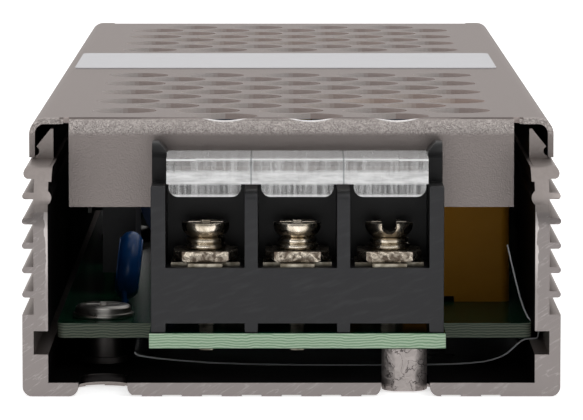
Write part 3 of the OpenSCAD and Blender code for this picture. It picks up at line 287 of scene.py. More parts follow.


# anodised sheet: fine blasted grain, with the end bends rougher and painted brighter, with glints, as a
# painted highlight
def anodisedSheet(coverBox):
    look = {"grey": "#8c8481", "bend": ("#9f9794", "#c6beba"), "dieMark": "#4e4745", "grazing": "#d8d2d0",
            "punched": ("#ddd4d0", "#c9b9b4"), "roughness": 0.36,
            "grainMm": 0.15, "strokeMm": 0.24,  # both drawn coarser than the real grit, so that they show
            "sheetMm": 0.62, "foldMm": 1.3, "bandMm": (0.75, 1.15), "bandDropMm": (1.3, 1.85),
            "punchedMetal": 0.1, "relief": (0.1, 1.0), "reliefMm": 0.3,
            "frontRim": {"rowXMm": 2.04, "pitchMm": 9.03, "centreMm": 6.75, "radiusMm": 6.0, "wideMm": 0.28,
                         "bright": "#fbf8f7"}}
    material, tree, shader = newMaterial("anodisedSheet", look["grey"], look["roughness"], Metallic=1.0)
    shader.inputs["Specular Tint"].default_value = linear(look["grazing"])
    place = addNode(tree, "ShaderNodeTexCoord")
    where = addNode(tree, "ShaderNodeSeparateXYZ", {"Vector": place.outputs["Object"]})
    along = addNode(tree, "ShaderNodeMath", {0: where.outputs["Y"]}, operation="ABSOLUTE")
    top = coverBox[1].z
    end = coverBox[1].y
    nearEnd = addNode(tree, "ShaderNodeMapRange",
                      {"Value": along.outputs[0], "From Min": end - look["bandMm"][1] * mm,
                       "From Max": end - look["bandMm"][0] * mm})
    belowTop = addNode(tree, "ShaderNodeMapRange",
                       {"Value": where.outputs["Z"], "From Min": top - look["bandDropMm"][1] * mm,
                        "From Max": top - look["bandDropMm"][0] * mm})
    band = addNode(tree, "ShaderNodeMath", {0: nearEnd.outputs["Result"], 1: belowTop.outputs["Result"]},
                   operation="MULTIPLY")
    strokes = addNode(tree, "ShaderNodeTexNoise",
                      {"Vector": place.outputs["Object"], "Scale": 1 / (look["strokeMm"] * mm),
                       "Detail": 4.0, "Distortion": 1.2})
    grain = addNode(tree, "ShaderNodeTexNoise",
                    {"Vector": place.outputs["Object"], "Scale": 1 / (look["grainMm"] * mm), "Detail": 2.0})
    # painted glints along the strokes of the bend band
    glint = addNode(tree, "ShaderNodeMapRange", {"Value": strokes.outputs["Fac"], "From Min": 0.4,
                                                 "From Max": 0.6})
    bendHighlightTone = addNode(tree, "ShaderNodeMix",
                       {"Factor": glint.outputs["Result"], "A": linear(look["bend"][0]),
                        "B": linear(look["bend"][1])}, data_type="RGBA")
    tone = addNode(tree, "ShaderNodeMix", {"Factor": band.outputs[0], "A": linear(look["grey"]),
                                           "B": bendHighlightTone.outputs["Result"]}, data_type="RGBA")
    # a dark line is painted where the end bends begin: painted shade
    facing = addNode(tree, "ShaderNodeSeparateXYZ", {"Vector": place.outputs["Normal"]})
    lean = addNode(tree, "ShaderNodeMath", {0: facing.outputs["Y"]}, operation="ABSOLUTE")
    shadeLineStart = addNode(tree, "ShaderNodeMapRange",
                        {"Value": lean.outputs[0], "From Min": 0.04, "From Max": 0.12})
    shadeLineEnd = addNode(tree, "ShaderNodeMapRange",
                      {"Value": lean.outputs[0], "From Min": 0.42, "From Max": 0.3})
    shadeLine = addNode(tree, "ShaderNodeMath", {0: shadeLineStart.outputs["Result"], 1: shadeLineEnd.outputs["Result"]},
                   operation="MULTIPLY")
    upward = addNode(tree, "ShaderNodeMath", {0: facing.outputs["Z"], 1: 0.85}, operation="GREATER_THAN")
    dieMark = addNode(tree, "ShaderNodeMath",
                      {0: shadeLine.outputs[0], 1: upward.outputs[0]}, operation="MULTIPLY")
    shadeLineTone = addNode(tree, "ShaderNodeMix", {"Factor": dieMark.outputs[0], "A": tone.outputs["Result"],
                                                 "B": linear(look["dieMark"])}, data_type="RGBA")
    # the front vents reach into the bend, and their near rims get a painted highlight
    rim = look["frontRim"]
    fromRow = addNode(tree, "ShaderNodeMath",
                      {0: where.outputs["X"], 1: rim["rowXMm"] * mm}, operation="SUBTRACT")
    fromVent = addNode(tree, "ShaderNodeMath", {0: fromRow.outputs[0], 1: rim["pitchMm"] / 2 * mm},
                       operation="PINGPONG")
    behind = addNode(tree, "ShaderNodeMath", {0: where.outputs["Y"], 1: -end + rim["centreMm"] * mm},
                     operation="SUBTRACT")
    reach = addNode(tree, "ShaderNodeCombineXYZ", {"X": fromVent.outputs[0], "Y": behind.outputs[0]})
    radius = addNode(tree, "ShaderNodeVectorMath", {0: reach.outputs["Vector"]}, operation="LENGTH")
    outOfRim = addNode(tree, "ShaderNodeMapRange", {"Value": radius.outputs["Value"],
                                                    "From Min": (rim["radiusMm"] + rim["wideMm"]) * mm,
                                                    "From Max": (rim["radiusMm"] + rim["wideMm"] / 2) * mm})
    nearVent = addNode(tree, "ShaderNodeMapRange", {"Value": fromVent.outputs[0], "From Min": 2.4 * mm,
                                                    "From Max": 1.6 * mm})
    inRow = addNode(tree, "ShaderNodeMath", {0: fromRow.outputs[0]}, operation="ABSOLUTE")
    isRow = addNode(tree, "ShaderNodeMath", {0: inRow.outputs[0], 1: 1.5 * rim["pitchMm"] * mm},
                    operation="LESS_THAN")
    inFront = addNode(tree, "ShaderNodeMath", {0: behind.outputs[0], 1: -4.5 * mm}, operation="LESS_THAN")
    roundRim = addNode(tree, "ShaderNodeMath",
                       {0: outOfRim.outputs["Result"], 1: nearVent.outputs["Result"]}, operation="MULTIPLY")
    frontRow = addNode(tree, "ShaderNodeMath",
                       {0: isRow.outputs[0], 1: inFront.outputs[0]}, operation="MULTIPLY")
    isRimHighlight = addNode(tree, "ShaderNodeMath",
                    {0: roundRim.outputs[0], 1: frontRow.outputs[0]}, operation="MULTIPLY")
    rimHighlightTone = addNode(tree, "ShaderNodeMix", {"Factor": isRimHighlight.outputs[0], "A": shadeLineTone.outputs["Result"],
                                              "B": linear(rim["bright"])}, data_type="RGBA")
    # the walls of the punched vents: upright faces within the sheet, raw and rough, painted pale for the
    # light they catch and paler on the side that faces the lamp: painted light
    upright = addNode(tree, "ShaderNodeMath", {0: facing.outputs["Z"]}, operation="ABSOLUTE")
    isWall = addNode(tree, "ShaderNodeMapRange",
                     {"Value": upright.outputs[0], "From Min": 0.5, "From Max": 0.3})
    inSheet = addNode(tree, "ShaderNodeMath", {0: where.outputs["Z"], 1: top - look["sheetMm"] * mm},
                      operation="GREATER_THAN")
    offEnd = addNode(tree, "ShaderNodeMath",
                     {0: along.outputs[0], 1: end - look["foldMm"] * mm}, operation="LESS_THAN")
    wallHere = addNode(tree, "ShaderNodeMath", {0: isWall.outputs["Result"], 1: inSheet.outputs[0]},
                       operation="MULTIPLY")
    isPunched = addNode(tree, "ShaderNodeMath", {0: wallHere.outputs[0], 1: offEnd.outputs[0]},
                        operation="MULTIPLY")
    # the side of the vent walls that faces the lamp is painted paler: painted light
    lampSide = addNode(tree, "ShaderNodeMapRange", {"Value": facing.outputs["X"], "From Min": 0.03,
                                                    "From Max": -0.03})
    wallPaintedLightTone = addNode(tree, "ShaderNodeMix", {"Factor": lampSide.outputs["Result"],
                                               "A": linear(look["punched"][0]),
                                               "B": linear(look["punched"][1])}, data_type="RGBA")
    punchedTone = addNode(tree, "ShaderNodeMix",
                          {"Factor": isPunched.outputs[0], "A": rimHighlightTone.outputs["Result"],
                           "B": wallPaintedLightTone.outputs["Result"]}, data_type="RGBA")
    metallic = addNode(tree, "ShaderNodeMapRange", {"Value": isPunched.outputs[0], "To Min": 1.0,
                                                   "To Max": look["punchedMetal"]})
    tree.links.new(metallic.outputs["Result"], shader.inputs["Metallic"])
    heights = addNode(tree, "ShaderNodeMix", {"Factor": band.outputs[0], "A": grain.outputs["Fac"],
                                              "B": strokes.outputs["Fac"]})
    depth = addNode(tree, "ShaderNodeMapRange", {"Value": band.outputs[0], "To Min": look["relief"][0],
                                                "To Max": look["relief"][1]})
    relief = addNode(tree, "ShaderNodeBump", {"Height": heights.outputs["Result"],
                                              "Strength": depth.outputs["Result"],
                                              "Distance": look["reliefMm"] * mm})
    tree.links.new(punchedTone.outputs["Result"], shader.inputs["Base Color"])
    tree.links.new(relief.outputs["Normal"], shader.inputs["Normal"])
    return material


# bare cut aluminium: bright, torn by the cutter, with dark cracks
def bareAluminium():
    look = {"pale": "#b5adaa", "crack": "#3b3635", "roughness": 0.5, "tearMm": 1.4, "crackShare": 0.018,
            "relief": 0.8, "reliefMm": 0.3}
    material, tree, shader = newMaterial("bareAluminium", look["pale"], look["roughness"], Metallic=1.0)
    place = addNode(tree, "ShaderNodeTexCoord")
    tears = addNode(tree, "ShaderNodeTexNoise", {"Vector": place.outputs["Object"],
                                                 "Scale": 1 / (look["tearMm"] * mm), "Detail": 4.0,
                                                 "Distortion": 0.6})
    middle = addNode(tree, "ShaderNodeMath", {0: tears.outputs["Fac"], 1: 0.5}, operation="SUBTRACT")
    away = addNode(tree, "ShaderNodeMath", {0: middle.outputs[0]}, operation="ABSOLUTE")
    isCrack = addNode(tree, "ShaderNodeMapRange", {"Value": away.outputs[0], "From Min": 0.0,
                                                  "From Max": look["crackShare"]})
    tone = addNode(tree, "ShaderNodeMix", {"Factor": isCrack.outputs["Result"], "A": linear(look["crack"]),
                                           "B": linear(look["pale"])}, data_type="RGBA")
    relief = addNode(tree, "ShaderNodeBump", {"Height": tears.outputs["Fac"], "Strength": look["relief"],
                                              "Distance": look["reliefMm"] * mm})
    tree.links.new(tone.outputs["Result"], shader.inputs["Base Color"])
    tree.links.new(relief.outputs["Normal"], shader.inputs["Normal"])
    return material


# moulded PBT: near black and satin, its outer faces painted charcoal as lit faces, with scuffs, against the
# painted shade of the cells
def mouldedBlack(outerY):
    look = {"black": "#0b0b0c", "scuffed": "#303032", "worn": "#3b3b3d", "roughness": 0.4, "skinMm": 0.2,
            "scuffMm": (3.0, 3.333, 0.6667), "scuffTilt": 0.3, "shine": 0.28, "relief": 0.2,
            "reliefMm": 0.02}
    material, tree, shader = newMaterial("mouldedPbt", look["black"], look["roughness"],
                                         Specular_IOR_Level=look["shine"])
    place = addNode(tree, "ShaderNodeTexCoord")
    where = addNode(tree, "ShaderNodeSeparateXYZ", {"Vector": place.outputs["Object"]})
    along = addNode(tree, "ShaderNodeMath", {0: where.outputs["Y"]}, operation="ABSOLUTE")
    # the faces further in than the outer ones stay near black: painted shade in the cells
    isOuter = addNode(tree, "ShaderNodeMapRange", {"Value": along.outputs[0], "From Min": outerY - 0.5 * mm,
                                                   "From Max": outerY - 0.1 * mm})
    skin = addNode(tree, "ShaderNodeTexNoise", {"Vector": place.outputs["Object"],
                                                "Scale": 1 / (look["skinMm"] * mm), "Detail": 2.0})
    turned = addNode(tree, "ShaderNodeMapping",
                     {"Vector": place.outputs["Object"], "Rotation": (0, look["scuffTilt"], 0)})
    drag = addNode(tree, "ShaderNodeMapping",
                   {"Vector": turned.outputs["Vector"], "Scale": perMetre(look["scuffMm"])})
    scuffs = addNode(tree, "ShaderNodeTexNoise",
                     {"Vector": drag.outputs["Vector"], "Scale": 1.0, "Detail": 5.0})
    marks = addNode(tree, "ShaderNodeMapRange", {"Value": scuffs.outputs["Fac"], "From Min": 0.5,
                                                 "From Max": 0.75})
    outerLitTone = addNode(tree, "ShaderNodeMix",
                        {"Factor": marks.outputs["Result"], "A": linear(look["scuffed"]),
                         "B": linear(look["worn"])}, data_type="RGBA")
    tone = addNode(tree, "ShaderNodeMix", {"Factor": isOuter.outputs["Result"], "A": linear(look["black"]),
                                           "B": outerLitTone.outputs["Result"]}, data_type="RGBA")
    relief = addNode(tree, "ShaderNodeBump", {"Height": skin.outputs["Fac"], "Strength": look["relief"],
                                              "Distance": look["reliefMm"] * mm})
    tree.links.new(tone.outputs["Result"], shader.inputs["Base Color"])
    tree.links.new(relief.outputs["Normal"], shader.inputs["Normal"])
    return material


# clear polycarbonate moulding: glassy, with milky flow streaks, a whiter rib along its lower edge that is
# partly milky and partly a painted highlight, thin whiter lines at the top and on the tabs as painted
# highlights, and a fine witness line at each pole
def clearPolycarbonate(lidBox, poleXs):
    look = {"clear": "#ffffff", "roughness": 0.07, "index": 1.58, "streakMm": (0.3, 16.667, 6.667),
            "patchMm": (2.2, 16.667, 0.5), "ribMm": 1.35, "tabMm": 1.3,
            "streakClear": 0.62, "ribClear": (0.05, 0.45), "topClear": 0.55, "rimClear": 0.3, "rimMm": 0.2,
            "witness": "#b4b8ba", "relief": 0.6, "reliefMm": 0.1}
    material, tree, shader = newMaterial("clearPolycarbonate", look["clear"], look["roughness"],
                                         IOR=look["index"])
    place = addNode(tree, "ShaderNodeTexCoord")
    where = addNode(tree, "ShaderNodeSeparateXYZ", {"Vector": place.outputs["Object"]})
    lines = addNode(tree, "ShaderNodeMapping",
                    {"Vector": place.outputs["Object"], "Scale": perMetre(look["streakMm"])})
    streaks = addNode(tree, "ShaderNodeTexNoise",
                      {"Vector": lines.outputs["Vector"], "Scale": 1.0, "Detail": 4.0})
    clearness = addNode(tree, "ShaderNodeMapRange",
                        {"Value": streaks.outputs["Fac"], "From Min": 0.32, "From Max": 0.64,
                         "To Min": look["streakClear"], "To Max": 1.0})
    cloud = addNode(tree, "ShaderNodeMapping",
                    {"Vector": place.outputs["Object"], "Scale": perMetre(look["patchMm"])})
    clouds = addNode(tree, "ShaderNodeTexNoise",
                     {"Vector": cloud.outputs["Vector"], "Scale": 1.0, "Detail": 3.0})
    # the rib along the lower edge is less clear and so whiter: partly milky moulding, partly a painted
    # highlight
    milkyHighlight = addNode(tree, "ShaderNodeMapRange", {"Value": clouds.outputs["Fac"], "From Min": 0.35,
                                                 "From Max": 0.65, "To Min": look["ribClear"][0],
                                                 "To Max": look["ribClear"][1]})
    bottom = lidBox[0].z + look["tabMm"] * mm
    top = lidBox[1].z
    overRib = addNode(tree, "ShaderNodeMapRange", {"Value": where.outputs["Z"],
                                                   "From Min": bottom + (look["ribMm"] - 0.25) * mm,
                                                   "From Max": bottom + (look["ribMm"] + 0.15) * mm})
    underRib = addNode(tree, "ShaderNodeMapRange",
                       {"Value": where.outputs["Z"], "From Min": bottom + 0.15 * mm,
                        "From Max": bottom - 0.15 * mm})
    offRib = addNode(tree, "ShaderNodeMath", {0: overRib.outputs["Result"], 1: underRib.outputs["Result"]},
                     operation="MAXIMUM")
    # less clear, so whiter, thin lines just under the top edge and along the tabs' lower edges: painted
    # highlights
    fromRim = addNode(tree, "ShaderNodeMath",
                      {0: where.outputs["Z"], 1: top - look["rimMm"] * mm}, operation="SUBTRACT")
    rimAway = addNode(tree, "ShaderNodeMath", {0: fromRim.outputs[0]}, operation="ABSOLUTE")
    belowTop = addNode(tree, "ShaderNodeMapRange", {"Value": rimAway.outputs[0], "From Min": 0.06 * mm,
                                                    "From Max": 0.14 * mm, "To Min": 0.0, "To Max": 1.0})
    tabRimHighlight = addNode(tree, "ShaderNodeMapRange", {"Value": where.outputs["Z"],
                                                      "From Min": lidBox[0].z + 0.12 * mm,
                                                      "From Max": lidBox[0].z + 0.3 * mm,
                                                      "To Min": look["rimClear"], "To Max": 1.0})
    inner = addNode(tree, "ShaderNodeMath",
                    {0: belowTop.outputs["Result"], 1: tabRimHighlight.outputs["Result"]}, operation="MULTIPLY")
    through = addNode(tree, "ShaderNodeMix", {"Factor": offRib.outputs[0], "A": milkyHighlight.outputs["Result"],
                                              "B": clearness.outputs["Result"]})
    facing = addNode(tree, "ShaderNodeSeparateXYZ", {"Vector": place.outputs["Normal"]})
    onTop = addNode(tree, "ShaderNodeMapRange",
                    {"Value": facing.outputs["Z"], "From Min": 0.5, "From Max": 0.9, "To Min": 1.0,
                     "To Max": look["topClear"]})
    sides = addNode(tree, "ShaderNodeMath", {0: through.outputs["Result"], 1: onTop.outputs["Result"]},
                    operation="MULTIPLY")
    kept = addNode(tree, "ShaderNodeMath", {0: sides.outputs[0], 1: inner.outputs[0]}, operation="MULTIPLY")
    flow = addNode(tree, "ShaderNodeTexNoise",
                   {"Vector": lines.outputs["Vector"], "Scale": 0.6, "Detail": 3.0})
    relief = addNode(tree, "ShaderNodeBump", {"Height": flow.outputs["Fac"], "Strength": look["relief"],
                                              "Distance": look["reliefMm"] * mm})
    # witness lines at the poles' edges
    nearest = None
    for x in poleXs:
        offset = addNode(tree, "ShaderNodeMath", {0: where.outputs["X"], 1: x}, operation="SUBTRACT")
        gap = addNode(tree, "ShaderNodeMath", {0: offset.outputs[0]}, operation="ABSOLUTE")
        if nearest is None:
            nearest = gap
        else:
            nearest = addNode(tree, "ShaderNodeMath", {0: nearest.outputs[0], 1: gap.outputs[0]},
                              operation="MINIMUM")
    onLine = addNode(tree, "ShaderNodeMapRange", {"Value": nearest.outputs[0], "From Min": 0.05 * mm,
                                                  "From Max": 0.11 * mm})
    tone = addNode(tree, "ShaderNodeMix", {"Factor": onLine.outputs["Result"], "A": linear(look["witness"]),
                                           "B": linear(look["clear"])}, data_type="RGBA")
    tree.links.new(tone.outputs["Result"], shader.inputs["Base Color"])
    tree.links.new(kept.outputs[0], shader.inputs["Transmission Weight"])
    tree.links.new(relief.outputs["Normal"], shader.inputs["Normal"])
    return material


# nickel-plated steel: warm bright metal, pitted and browned where it was pressed
def nickelPlate(name, bright, dull, roughness, pitMm, depthMm):
    material, tree, shader = newMaterial(name, bright, roughness, Metallic=1.0)
    place = addNode(tree, "ShaderNodeTexCoord")
    marks = addNode(tree, "ShaderNodeTexNoise",
                    {"Vector": place.outputs["Object"], "Scale": 1 / (pitMm * mm), "Detail": 5.0,
                     "Distortion": 0.5})
    worn = addNode(tree, "ShaderNodeMapRange",
                   {"Value": marks.outputs["Fac"], "From Min": 0.4, "From Max": 0.6})
    tone = addNode(tree, "ShaderNodeMix", {"Factor": worn.outputs["Result"], "A": linear(bright),
                                           "B": linear(dull)}, data_type="RGBA")
    gloss = addNode(tree, "ShaderNodeMapRange", {"Value": worn.outputs["Result"], "To Min": roughness,
                                                 "To Max": roughness + 0.15})
    relief = addNode(tree, "ShaderNodeBump", {"Height": marks.outputs["Fac"], "Strength": 0.7,
                                              "Distance": depthMm * mm})
    tree.links.new(tone.outputs["Result"], shader.inputs["Base Color"])
    tree.links.new(gloss.outputs["Result"], shader.inputs["Roughness"])
    tree.links.new(relief.outputs["Normal"], shader.inputs["Normal"])
    return material


# zinc-plated steel: duller and greyer than the nickel
def zincPlate():
    look = {"grey": "#b9b6b1", "roughness": (0.2, 0.45), "markMm": 1.25}
    material, tree, shader = newMaterial("zincPlate", look["grey"], look["roughness"][0], Metallic=1.0)
    place = addNode(tree, "ShaderNodeTexCoord")
    marks = addNode(tree, "ShaderNodeTexNoise",
                    {"Vector": place.outputs["Object"], "Scale": 1 / (look["markMm"] * mm), "Detail": 3.0})
    gloss = addNode(tree, "ShaderNodeMapRange",
                    {"Value": marks.outputs["Fac"], "To Min": look["roughness"][0],
                     "To Max": look["roughness"][1]})
    tree.links.new(gloss.outputs["Result"], shader.inputs["Roughness"])
    return material


# glass fibre laminate: dark green solder mask on the faces, pale wavy fibre layers on the cut edges, darker
# on the edge back inside the case as painted shade
def laminateBoard(tongueY):
    look = {"mask": "#0a2417", "maskLight": "#103a28", "pale": ("#8fb491", "#cde2c9"),
            "aged": ("#68766b", "#a0a896"), "layerMm": 0.28, "weaveMm": 2.381, "waveMm": 0.5,
            "roughness": (0.22, 0.75), "shine": 0.03}
    material, tree, shader = newMaterial("laminateBoard", look["mask"], look["roughness"][0],
                                         Specular_IOR_Level=look["shine"])
    place = addNode(tree, "ShaderNodeTexCoord")
    where = addNode(tree, "ShaderNodeSeparateXYZ", {"Vector": place.outputs["Object"]})
    facing = addNode(tree, "ShaderNodeSeparateXYZ", {"Vector": place.outputs["Normal"]})
    upright = addNode(tree, "ShaderNodeMath", {0: facing.outputs["Z"]}, operation="ABSOLUTE")
    isEdge = addNode(tree, "ShaderNodeMapRange",
                     {"Value": upright.outputs[0], "From Min": 0.4, "From Max": 0.2})
    weave = addNode(tree, "ShaderNodeTexNoise",
                    {"Vector": place.outputs["Object"], "Scale": 1 / (look["weaveMm"] * mm), "Detail": 2.0})
    bent = addNode(tree, "ShaderNodeVectorMath",
                   {0: weave.outputs["Color"], 1: (0.0, 0.0, look["waveMm"] * mm)}, operation="MULTIPLY")
    layersAt = addNode(tree, "ShaderNodeVectorMath",
                       {0: place.outputs["Object"], 1: bent.outputs["Vector"]}, operation="ADD")
    # at a Scale of 1 a band is 0.314 m wide, so this draws a fibre layer every layerMm
    layers = addNode(tree, "ShaderNodeTexWave",
                     {"Vector": layersAt.outputs["Vector"], "Scale": 0.314 / (look["layerMm"] * mm),
                      "Distortion": 2.5, "Detail": 3.0}, bands_direction="Z")
    along = addNode(tree, "ShaderNodeMath", {0: where.outputs["Y"]}, operation="ABSOLUTE")
    # the board's edge further inside the case is painted darker than the tongue's: painted shade
    isTongue = addNode(tree, "ShaderNodeMapRange",
                       {"Value": along.outputs[0], "From Min": tongueY - 1.2 * mm,
                        "From Max": tongueY - 0.4 * mm})
    darkFibre = addNode(tree, "ShaderNodeMix",
                        {"Factor": isTongue.outputs["Result"], "A": linear(look["aged"][0]),
                         "B": linear(look["pale"][0])}, data_type="RGBA")
    paleFibre = addNode(tree, "ShaderNodeMix",
                        {"Factor": isTongue.outputs["Result"], "A": linear(look["aged"][1]),
                         "B": linear(look["pale"][1])}, data_type="RGBA")
    fibre = addNode(tree, "ShaderNodeMix",
                    {"Factor": layers.outputs["Fac"], "A": darkFibre.outputs["Result"],
                     "B": paleFibre.outputs["Result"]}, data_type="RGBA")
    maskTone = addNode(tree, "ShaderNodeMix", {"Factor": weave.outputs["Fac"], "A": linear(look["mask"]),
                                               "B": linear(look["maskLight"])}, data_type="RGBA")
    tone = addNode(tree, "ShaderNodeMix",
                   {"Factor": isEdge.outputs["Result"], "A": maskTone.outputs["Result"],
                    "B": fibre.outputs["Result"]}, data_type="RGBA")
    gloss = addNode(tree, "ShaderNodeMapRange",
                    {"Value": isEdge.outputs["Result"], "To Min": look["roughness"][0],
                     "To Max": look["roughness"][1]})
    tree.links.new(tone.outputs["Result"], shader.inputs["Base Color"])
    tree.links.new(gloss.outputs["Result"], shader.inputs["Roughness"])
    return material


# thin polyester film: clear, so that only a faint sheen and its cut edges show; the edges are painted pale
# as a highlight
def insulatingFilm():
    look = {"edge": "#c4c8ca", "sheen": "#3a3e40", "faceAlpha": 0.1, "edgeAlpha": 0.75}
    material, tree, shader = newMaterial("polyesterFilm", look["sheen"], 0.2, IOR=1.55)
    place = addNode(tree, "ShaderNodeTexCoord")
    facing = addNode(tree, "ShaderNodeSeparateXYZ", {"Vector": place.outputs["Normal"]})
    endOn = addNode(tree, "ShaderNodeMath", {0: facing.outputs["Y"]}, operation="ABSOLUTE")
    # the cut edges are painted pale and nearly opaque: a painted highlight
    isEdge = addNode(tree, "ShaderNodeMapRange",
                     {"Value": endOn.outputs[0], "From Min": 0.8, "From Max": 0.95})
    tone = addNode(tree, "ShaderNodeMix", {"Factor": isEdge.outputs["Result"], "A": linear(look["sheen"]),
                                           "B": linear(look["edge"])}, data_type="RGBA")
    cover = addNode(tree, "ShaderNodeMapRange",
                    {"Value": isEdge.outputs["Result"], "To Min": look["faceAlpha"],
                     "To Max": look["edgeAlpha"]})
    tree.links.new(tone.outputs["Result"], shader.inputs["Base Color"])
    tree.links.new(cover.outputs["Result"], shader.inputs["Alpha"])
    return material


# one mottled finish for moulded, dipped, wound and sintered parts, with its own colours and grain
def mottled(name, dark, light, roughness, patchMm, reliefMm=0.02, **sockets):
    material, tree, shader = newMaterial(name, dark, roughness, **sockets)
    place = addNode(tree, "ShaderNodeTexCoord")
    patches = addNode(tree, "ShaderNodeTexNoise", {"Vector": place.outputs["Object"],
                                                   "Scale": 1 / (patchMm * mm), "Detail": 4.0})
    tone = addNode(tree, "ShaderNodeMix", {"Factor": patches.outputs["Fac"], "A": linear(dark),
                                           "B": linear(light)}, data_type="RGBA")
    relief = addNode(tree, "ShaderNodeBump", {"Height": patches.outputs["Fac"], "Strength": 0.4,
                                              "Distance": reliefMm * mm})
    tree.links.new(tone.outputs["Result"], shader.inputs["Base Color"])
    tree.links.new(relief.outputs["Normal"], shader.inputs["Normal"])
    return material


view = {"eyeMm": (-0.56, -492.6, 67.98), "lens": 300.0, "sensor": 36.0, "pitchDeg": 5.66, "yawDeg": 0.065,
        "clipM": (0.01, 20.0)}


def placeCamera():
    front = cadBox[0][1]
    bpy.ops.object.camera_add()
    camera = bpy.context.object
    camera.name = "frontCamera"
    camera.location = (view["eyeMm"][0] * mm, front + view["eyeMm"][1] * mm, view["eyeMm"][2] * mm)
    camera.rotation_euler = (math.radians(90 - view["pitchDeg"]), 0, math.radians(-view["yawDeg"]))
    camera.data.lens = view["lens"]
    camera.data.sensor_width = view["sensor"]
    camera.data.clip_start, camera.data.clip_end = view["clipM"]
    bpy.context.scene.camera = camera
    camera.select_set(False)


light = {"sky": 0.85, "keyWatts": 0.9, "keySize": 0.4, "keyPlace": (0.45, -0.35, 0.7), "floorGlow": 0.6,
         "floorSize": 6.0, "floorDropMm": 0.02, "floorColour": "#f4f4f4", "cardShade": 0.24,
         "cardSize": (1.7, 0.95), "cardPlace": (0, -1.15, 0.42)}


# 1 for the rays that see the white background: those of the camera, of mirrors and of clear pieces
def backgroundRays(tree):
    rays = addNode(tree, "ShaderNodeLightPath")
    seen = addNode(tree, "ShaderNodeMath",
                   {0: rays.outputs["Is Camera Ray"], 1: rays.outputs["Is Glossy Ray"]},
                   operation="MAXIMUM")
    return addNode(tree, "ShaderNodeMath", {0: seen.outputs[0], 1: rays.outputs["Is Transmission Ray"]},
                   operation="MAXIMUM")


def lightStudio():
    scene = bpy.context.scene
    scene.view_settings.view_transform = "Standard"
    world = bpy.data.worlds.new("studioTent")
    world.use_nodes = True
    scene.world = world
    tree = world.node_tree
    tree.nodes.clear()
    through = backgroundRays(tree)
    level = addNode(tree, "ShaderNodeMapRange", {"Value": through.outputs[0], "To Min": light["sky"],
                                                 "To Max": 1.0})
    sky = addNode(tree, "ShaderNodeBackground",
                  {"Color": (1, 1, 1, 1), "Strength": level.outputs["Result"]})
    addNode(tree, "ShaderNodeOutputWorld", {"Surface": sky.outputs["Background"]})
    bpy.ops.object.light_add(type="AREA", location=light["keyPlace"])
    lamp = bpy.context.object
    lamp.name = "softbox"
    lamp.data.energy = light["keyWatts"]
    lamp.data.size = light["keySize"]
    lamp.rotation_euler = (Vector((0, 0, 0)) - lamp.location).to_track_quat("-Z", "Y").to_euler()
    lamp.select_set(False)


def layFloor():
    bpy.ops.mesh.primitive_plane_add(size=light["floorSize"], location=(0, 0, -light["floorDropMm"] * mm))
    floor = bpy.context.object
    floor.name = "floor"
    bpy.ops.object.transform_apply(location=True)
    material, tree, shader = newMaterial("matteBoard", light["floorColour"], 0.9)
    shader.inputs["Emission Color"].default_value = (1, 1, 1, 1)
    through = backgroundRays(tree)
    glow = addNode(tree, "ShaderNodeMath",
                   {0: through.outputs[0], 1: light["floorGlow"]}, operation="MULTIPLY")
    tree.links.new(glow.outputs[0], shader.inputs["Emission Strength"])
    floor.data.materials.append(material)
    floor.select_set(False)


# the darker side of the room, behind the camera, which metal that faces the front mirrors
def hangFrontCard():
    bpy.ops.mesh.primitive_plane_add(size=1.0, location=light["cardPlace"],
                                     rotation=(math.radians(90), 0, 0))
    card = bpy.context.object
    card.name = "frontCard"
    card.scale = (light["cardSize"][0], light["cardSize"][1], 1)
    bpy.ops.object.transform_apply(location=True, rotation=True, scale=True)
    material, _, shader = newMaterial("greyCloth", "#000000", 1.0, Specular_IOR_Level=0.0)
    shader.inputs["Emission Color"].default_value = (1, 1, 1, 1)
    shader.inputs["Emission Strength"].default_value = light["cardShade"]
    card.data.materials.append(material)
    card.visible_camera = False
    card.visible_shadow = False
    card.select_set(False)


placeCamera()
lightStudio()
layFloor()
hangFrontCard()
print("camera, light and floor in place")

channel = {"wallMm": 2.63, "floorMm": 1.4, "slotMm": 1.0, "burrFromMm": 11.0}
rounding = {"channel": 0.12 * mm, "post": 0.1 * mm, "moulding": 0.12 * mm, "plate": 0.08 * mm,
            "board": 0.04 * mm, "screw": 0.08 * mm}
floorTop = channel["floorMm"] * mm
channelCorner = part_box("chassis")[1]
extrusion = anodisedExtrusion({"x": channelCorner.x - channel["wallMm"] * mm, "y": channelCorner.y,
                               "z": floorTop, "slotTop": floorTop + channel["slotMm"] * mm,
                               "burrZ": channel["burrFromMm"] * mm})
sheet = anodisedSheet(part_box("cover_flanges"))
chassis = softCopy("chassis", "finnedChannel", rounding["channel"], "case")
dress(chassis, extrusion)
cover = softCopy(["top_cover", "cover_flanges"], "perforatedCover", 0, "case")
dress(cover, sheet)
bare = bareAluminium()
post = softCopy("front_post", "cutPost", rounding["post"], "case")
dress(post, bare)
# the standoffs deep under the board are painted dark steel: painted shade
paint(mottled("dullSteel", "#4c4948", "#5d5957", 0.45, 1.0, Metallic=1.0), "standoffs")
paint(mottled("paperLabel", "#c6c5c8", "#cccbce", 0.5, 3.0), "label_panel")
print("case dressed")

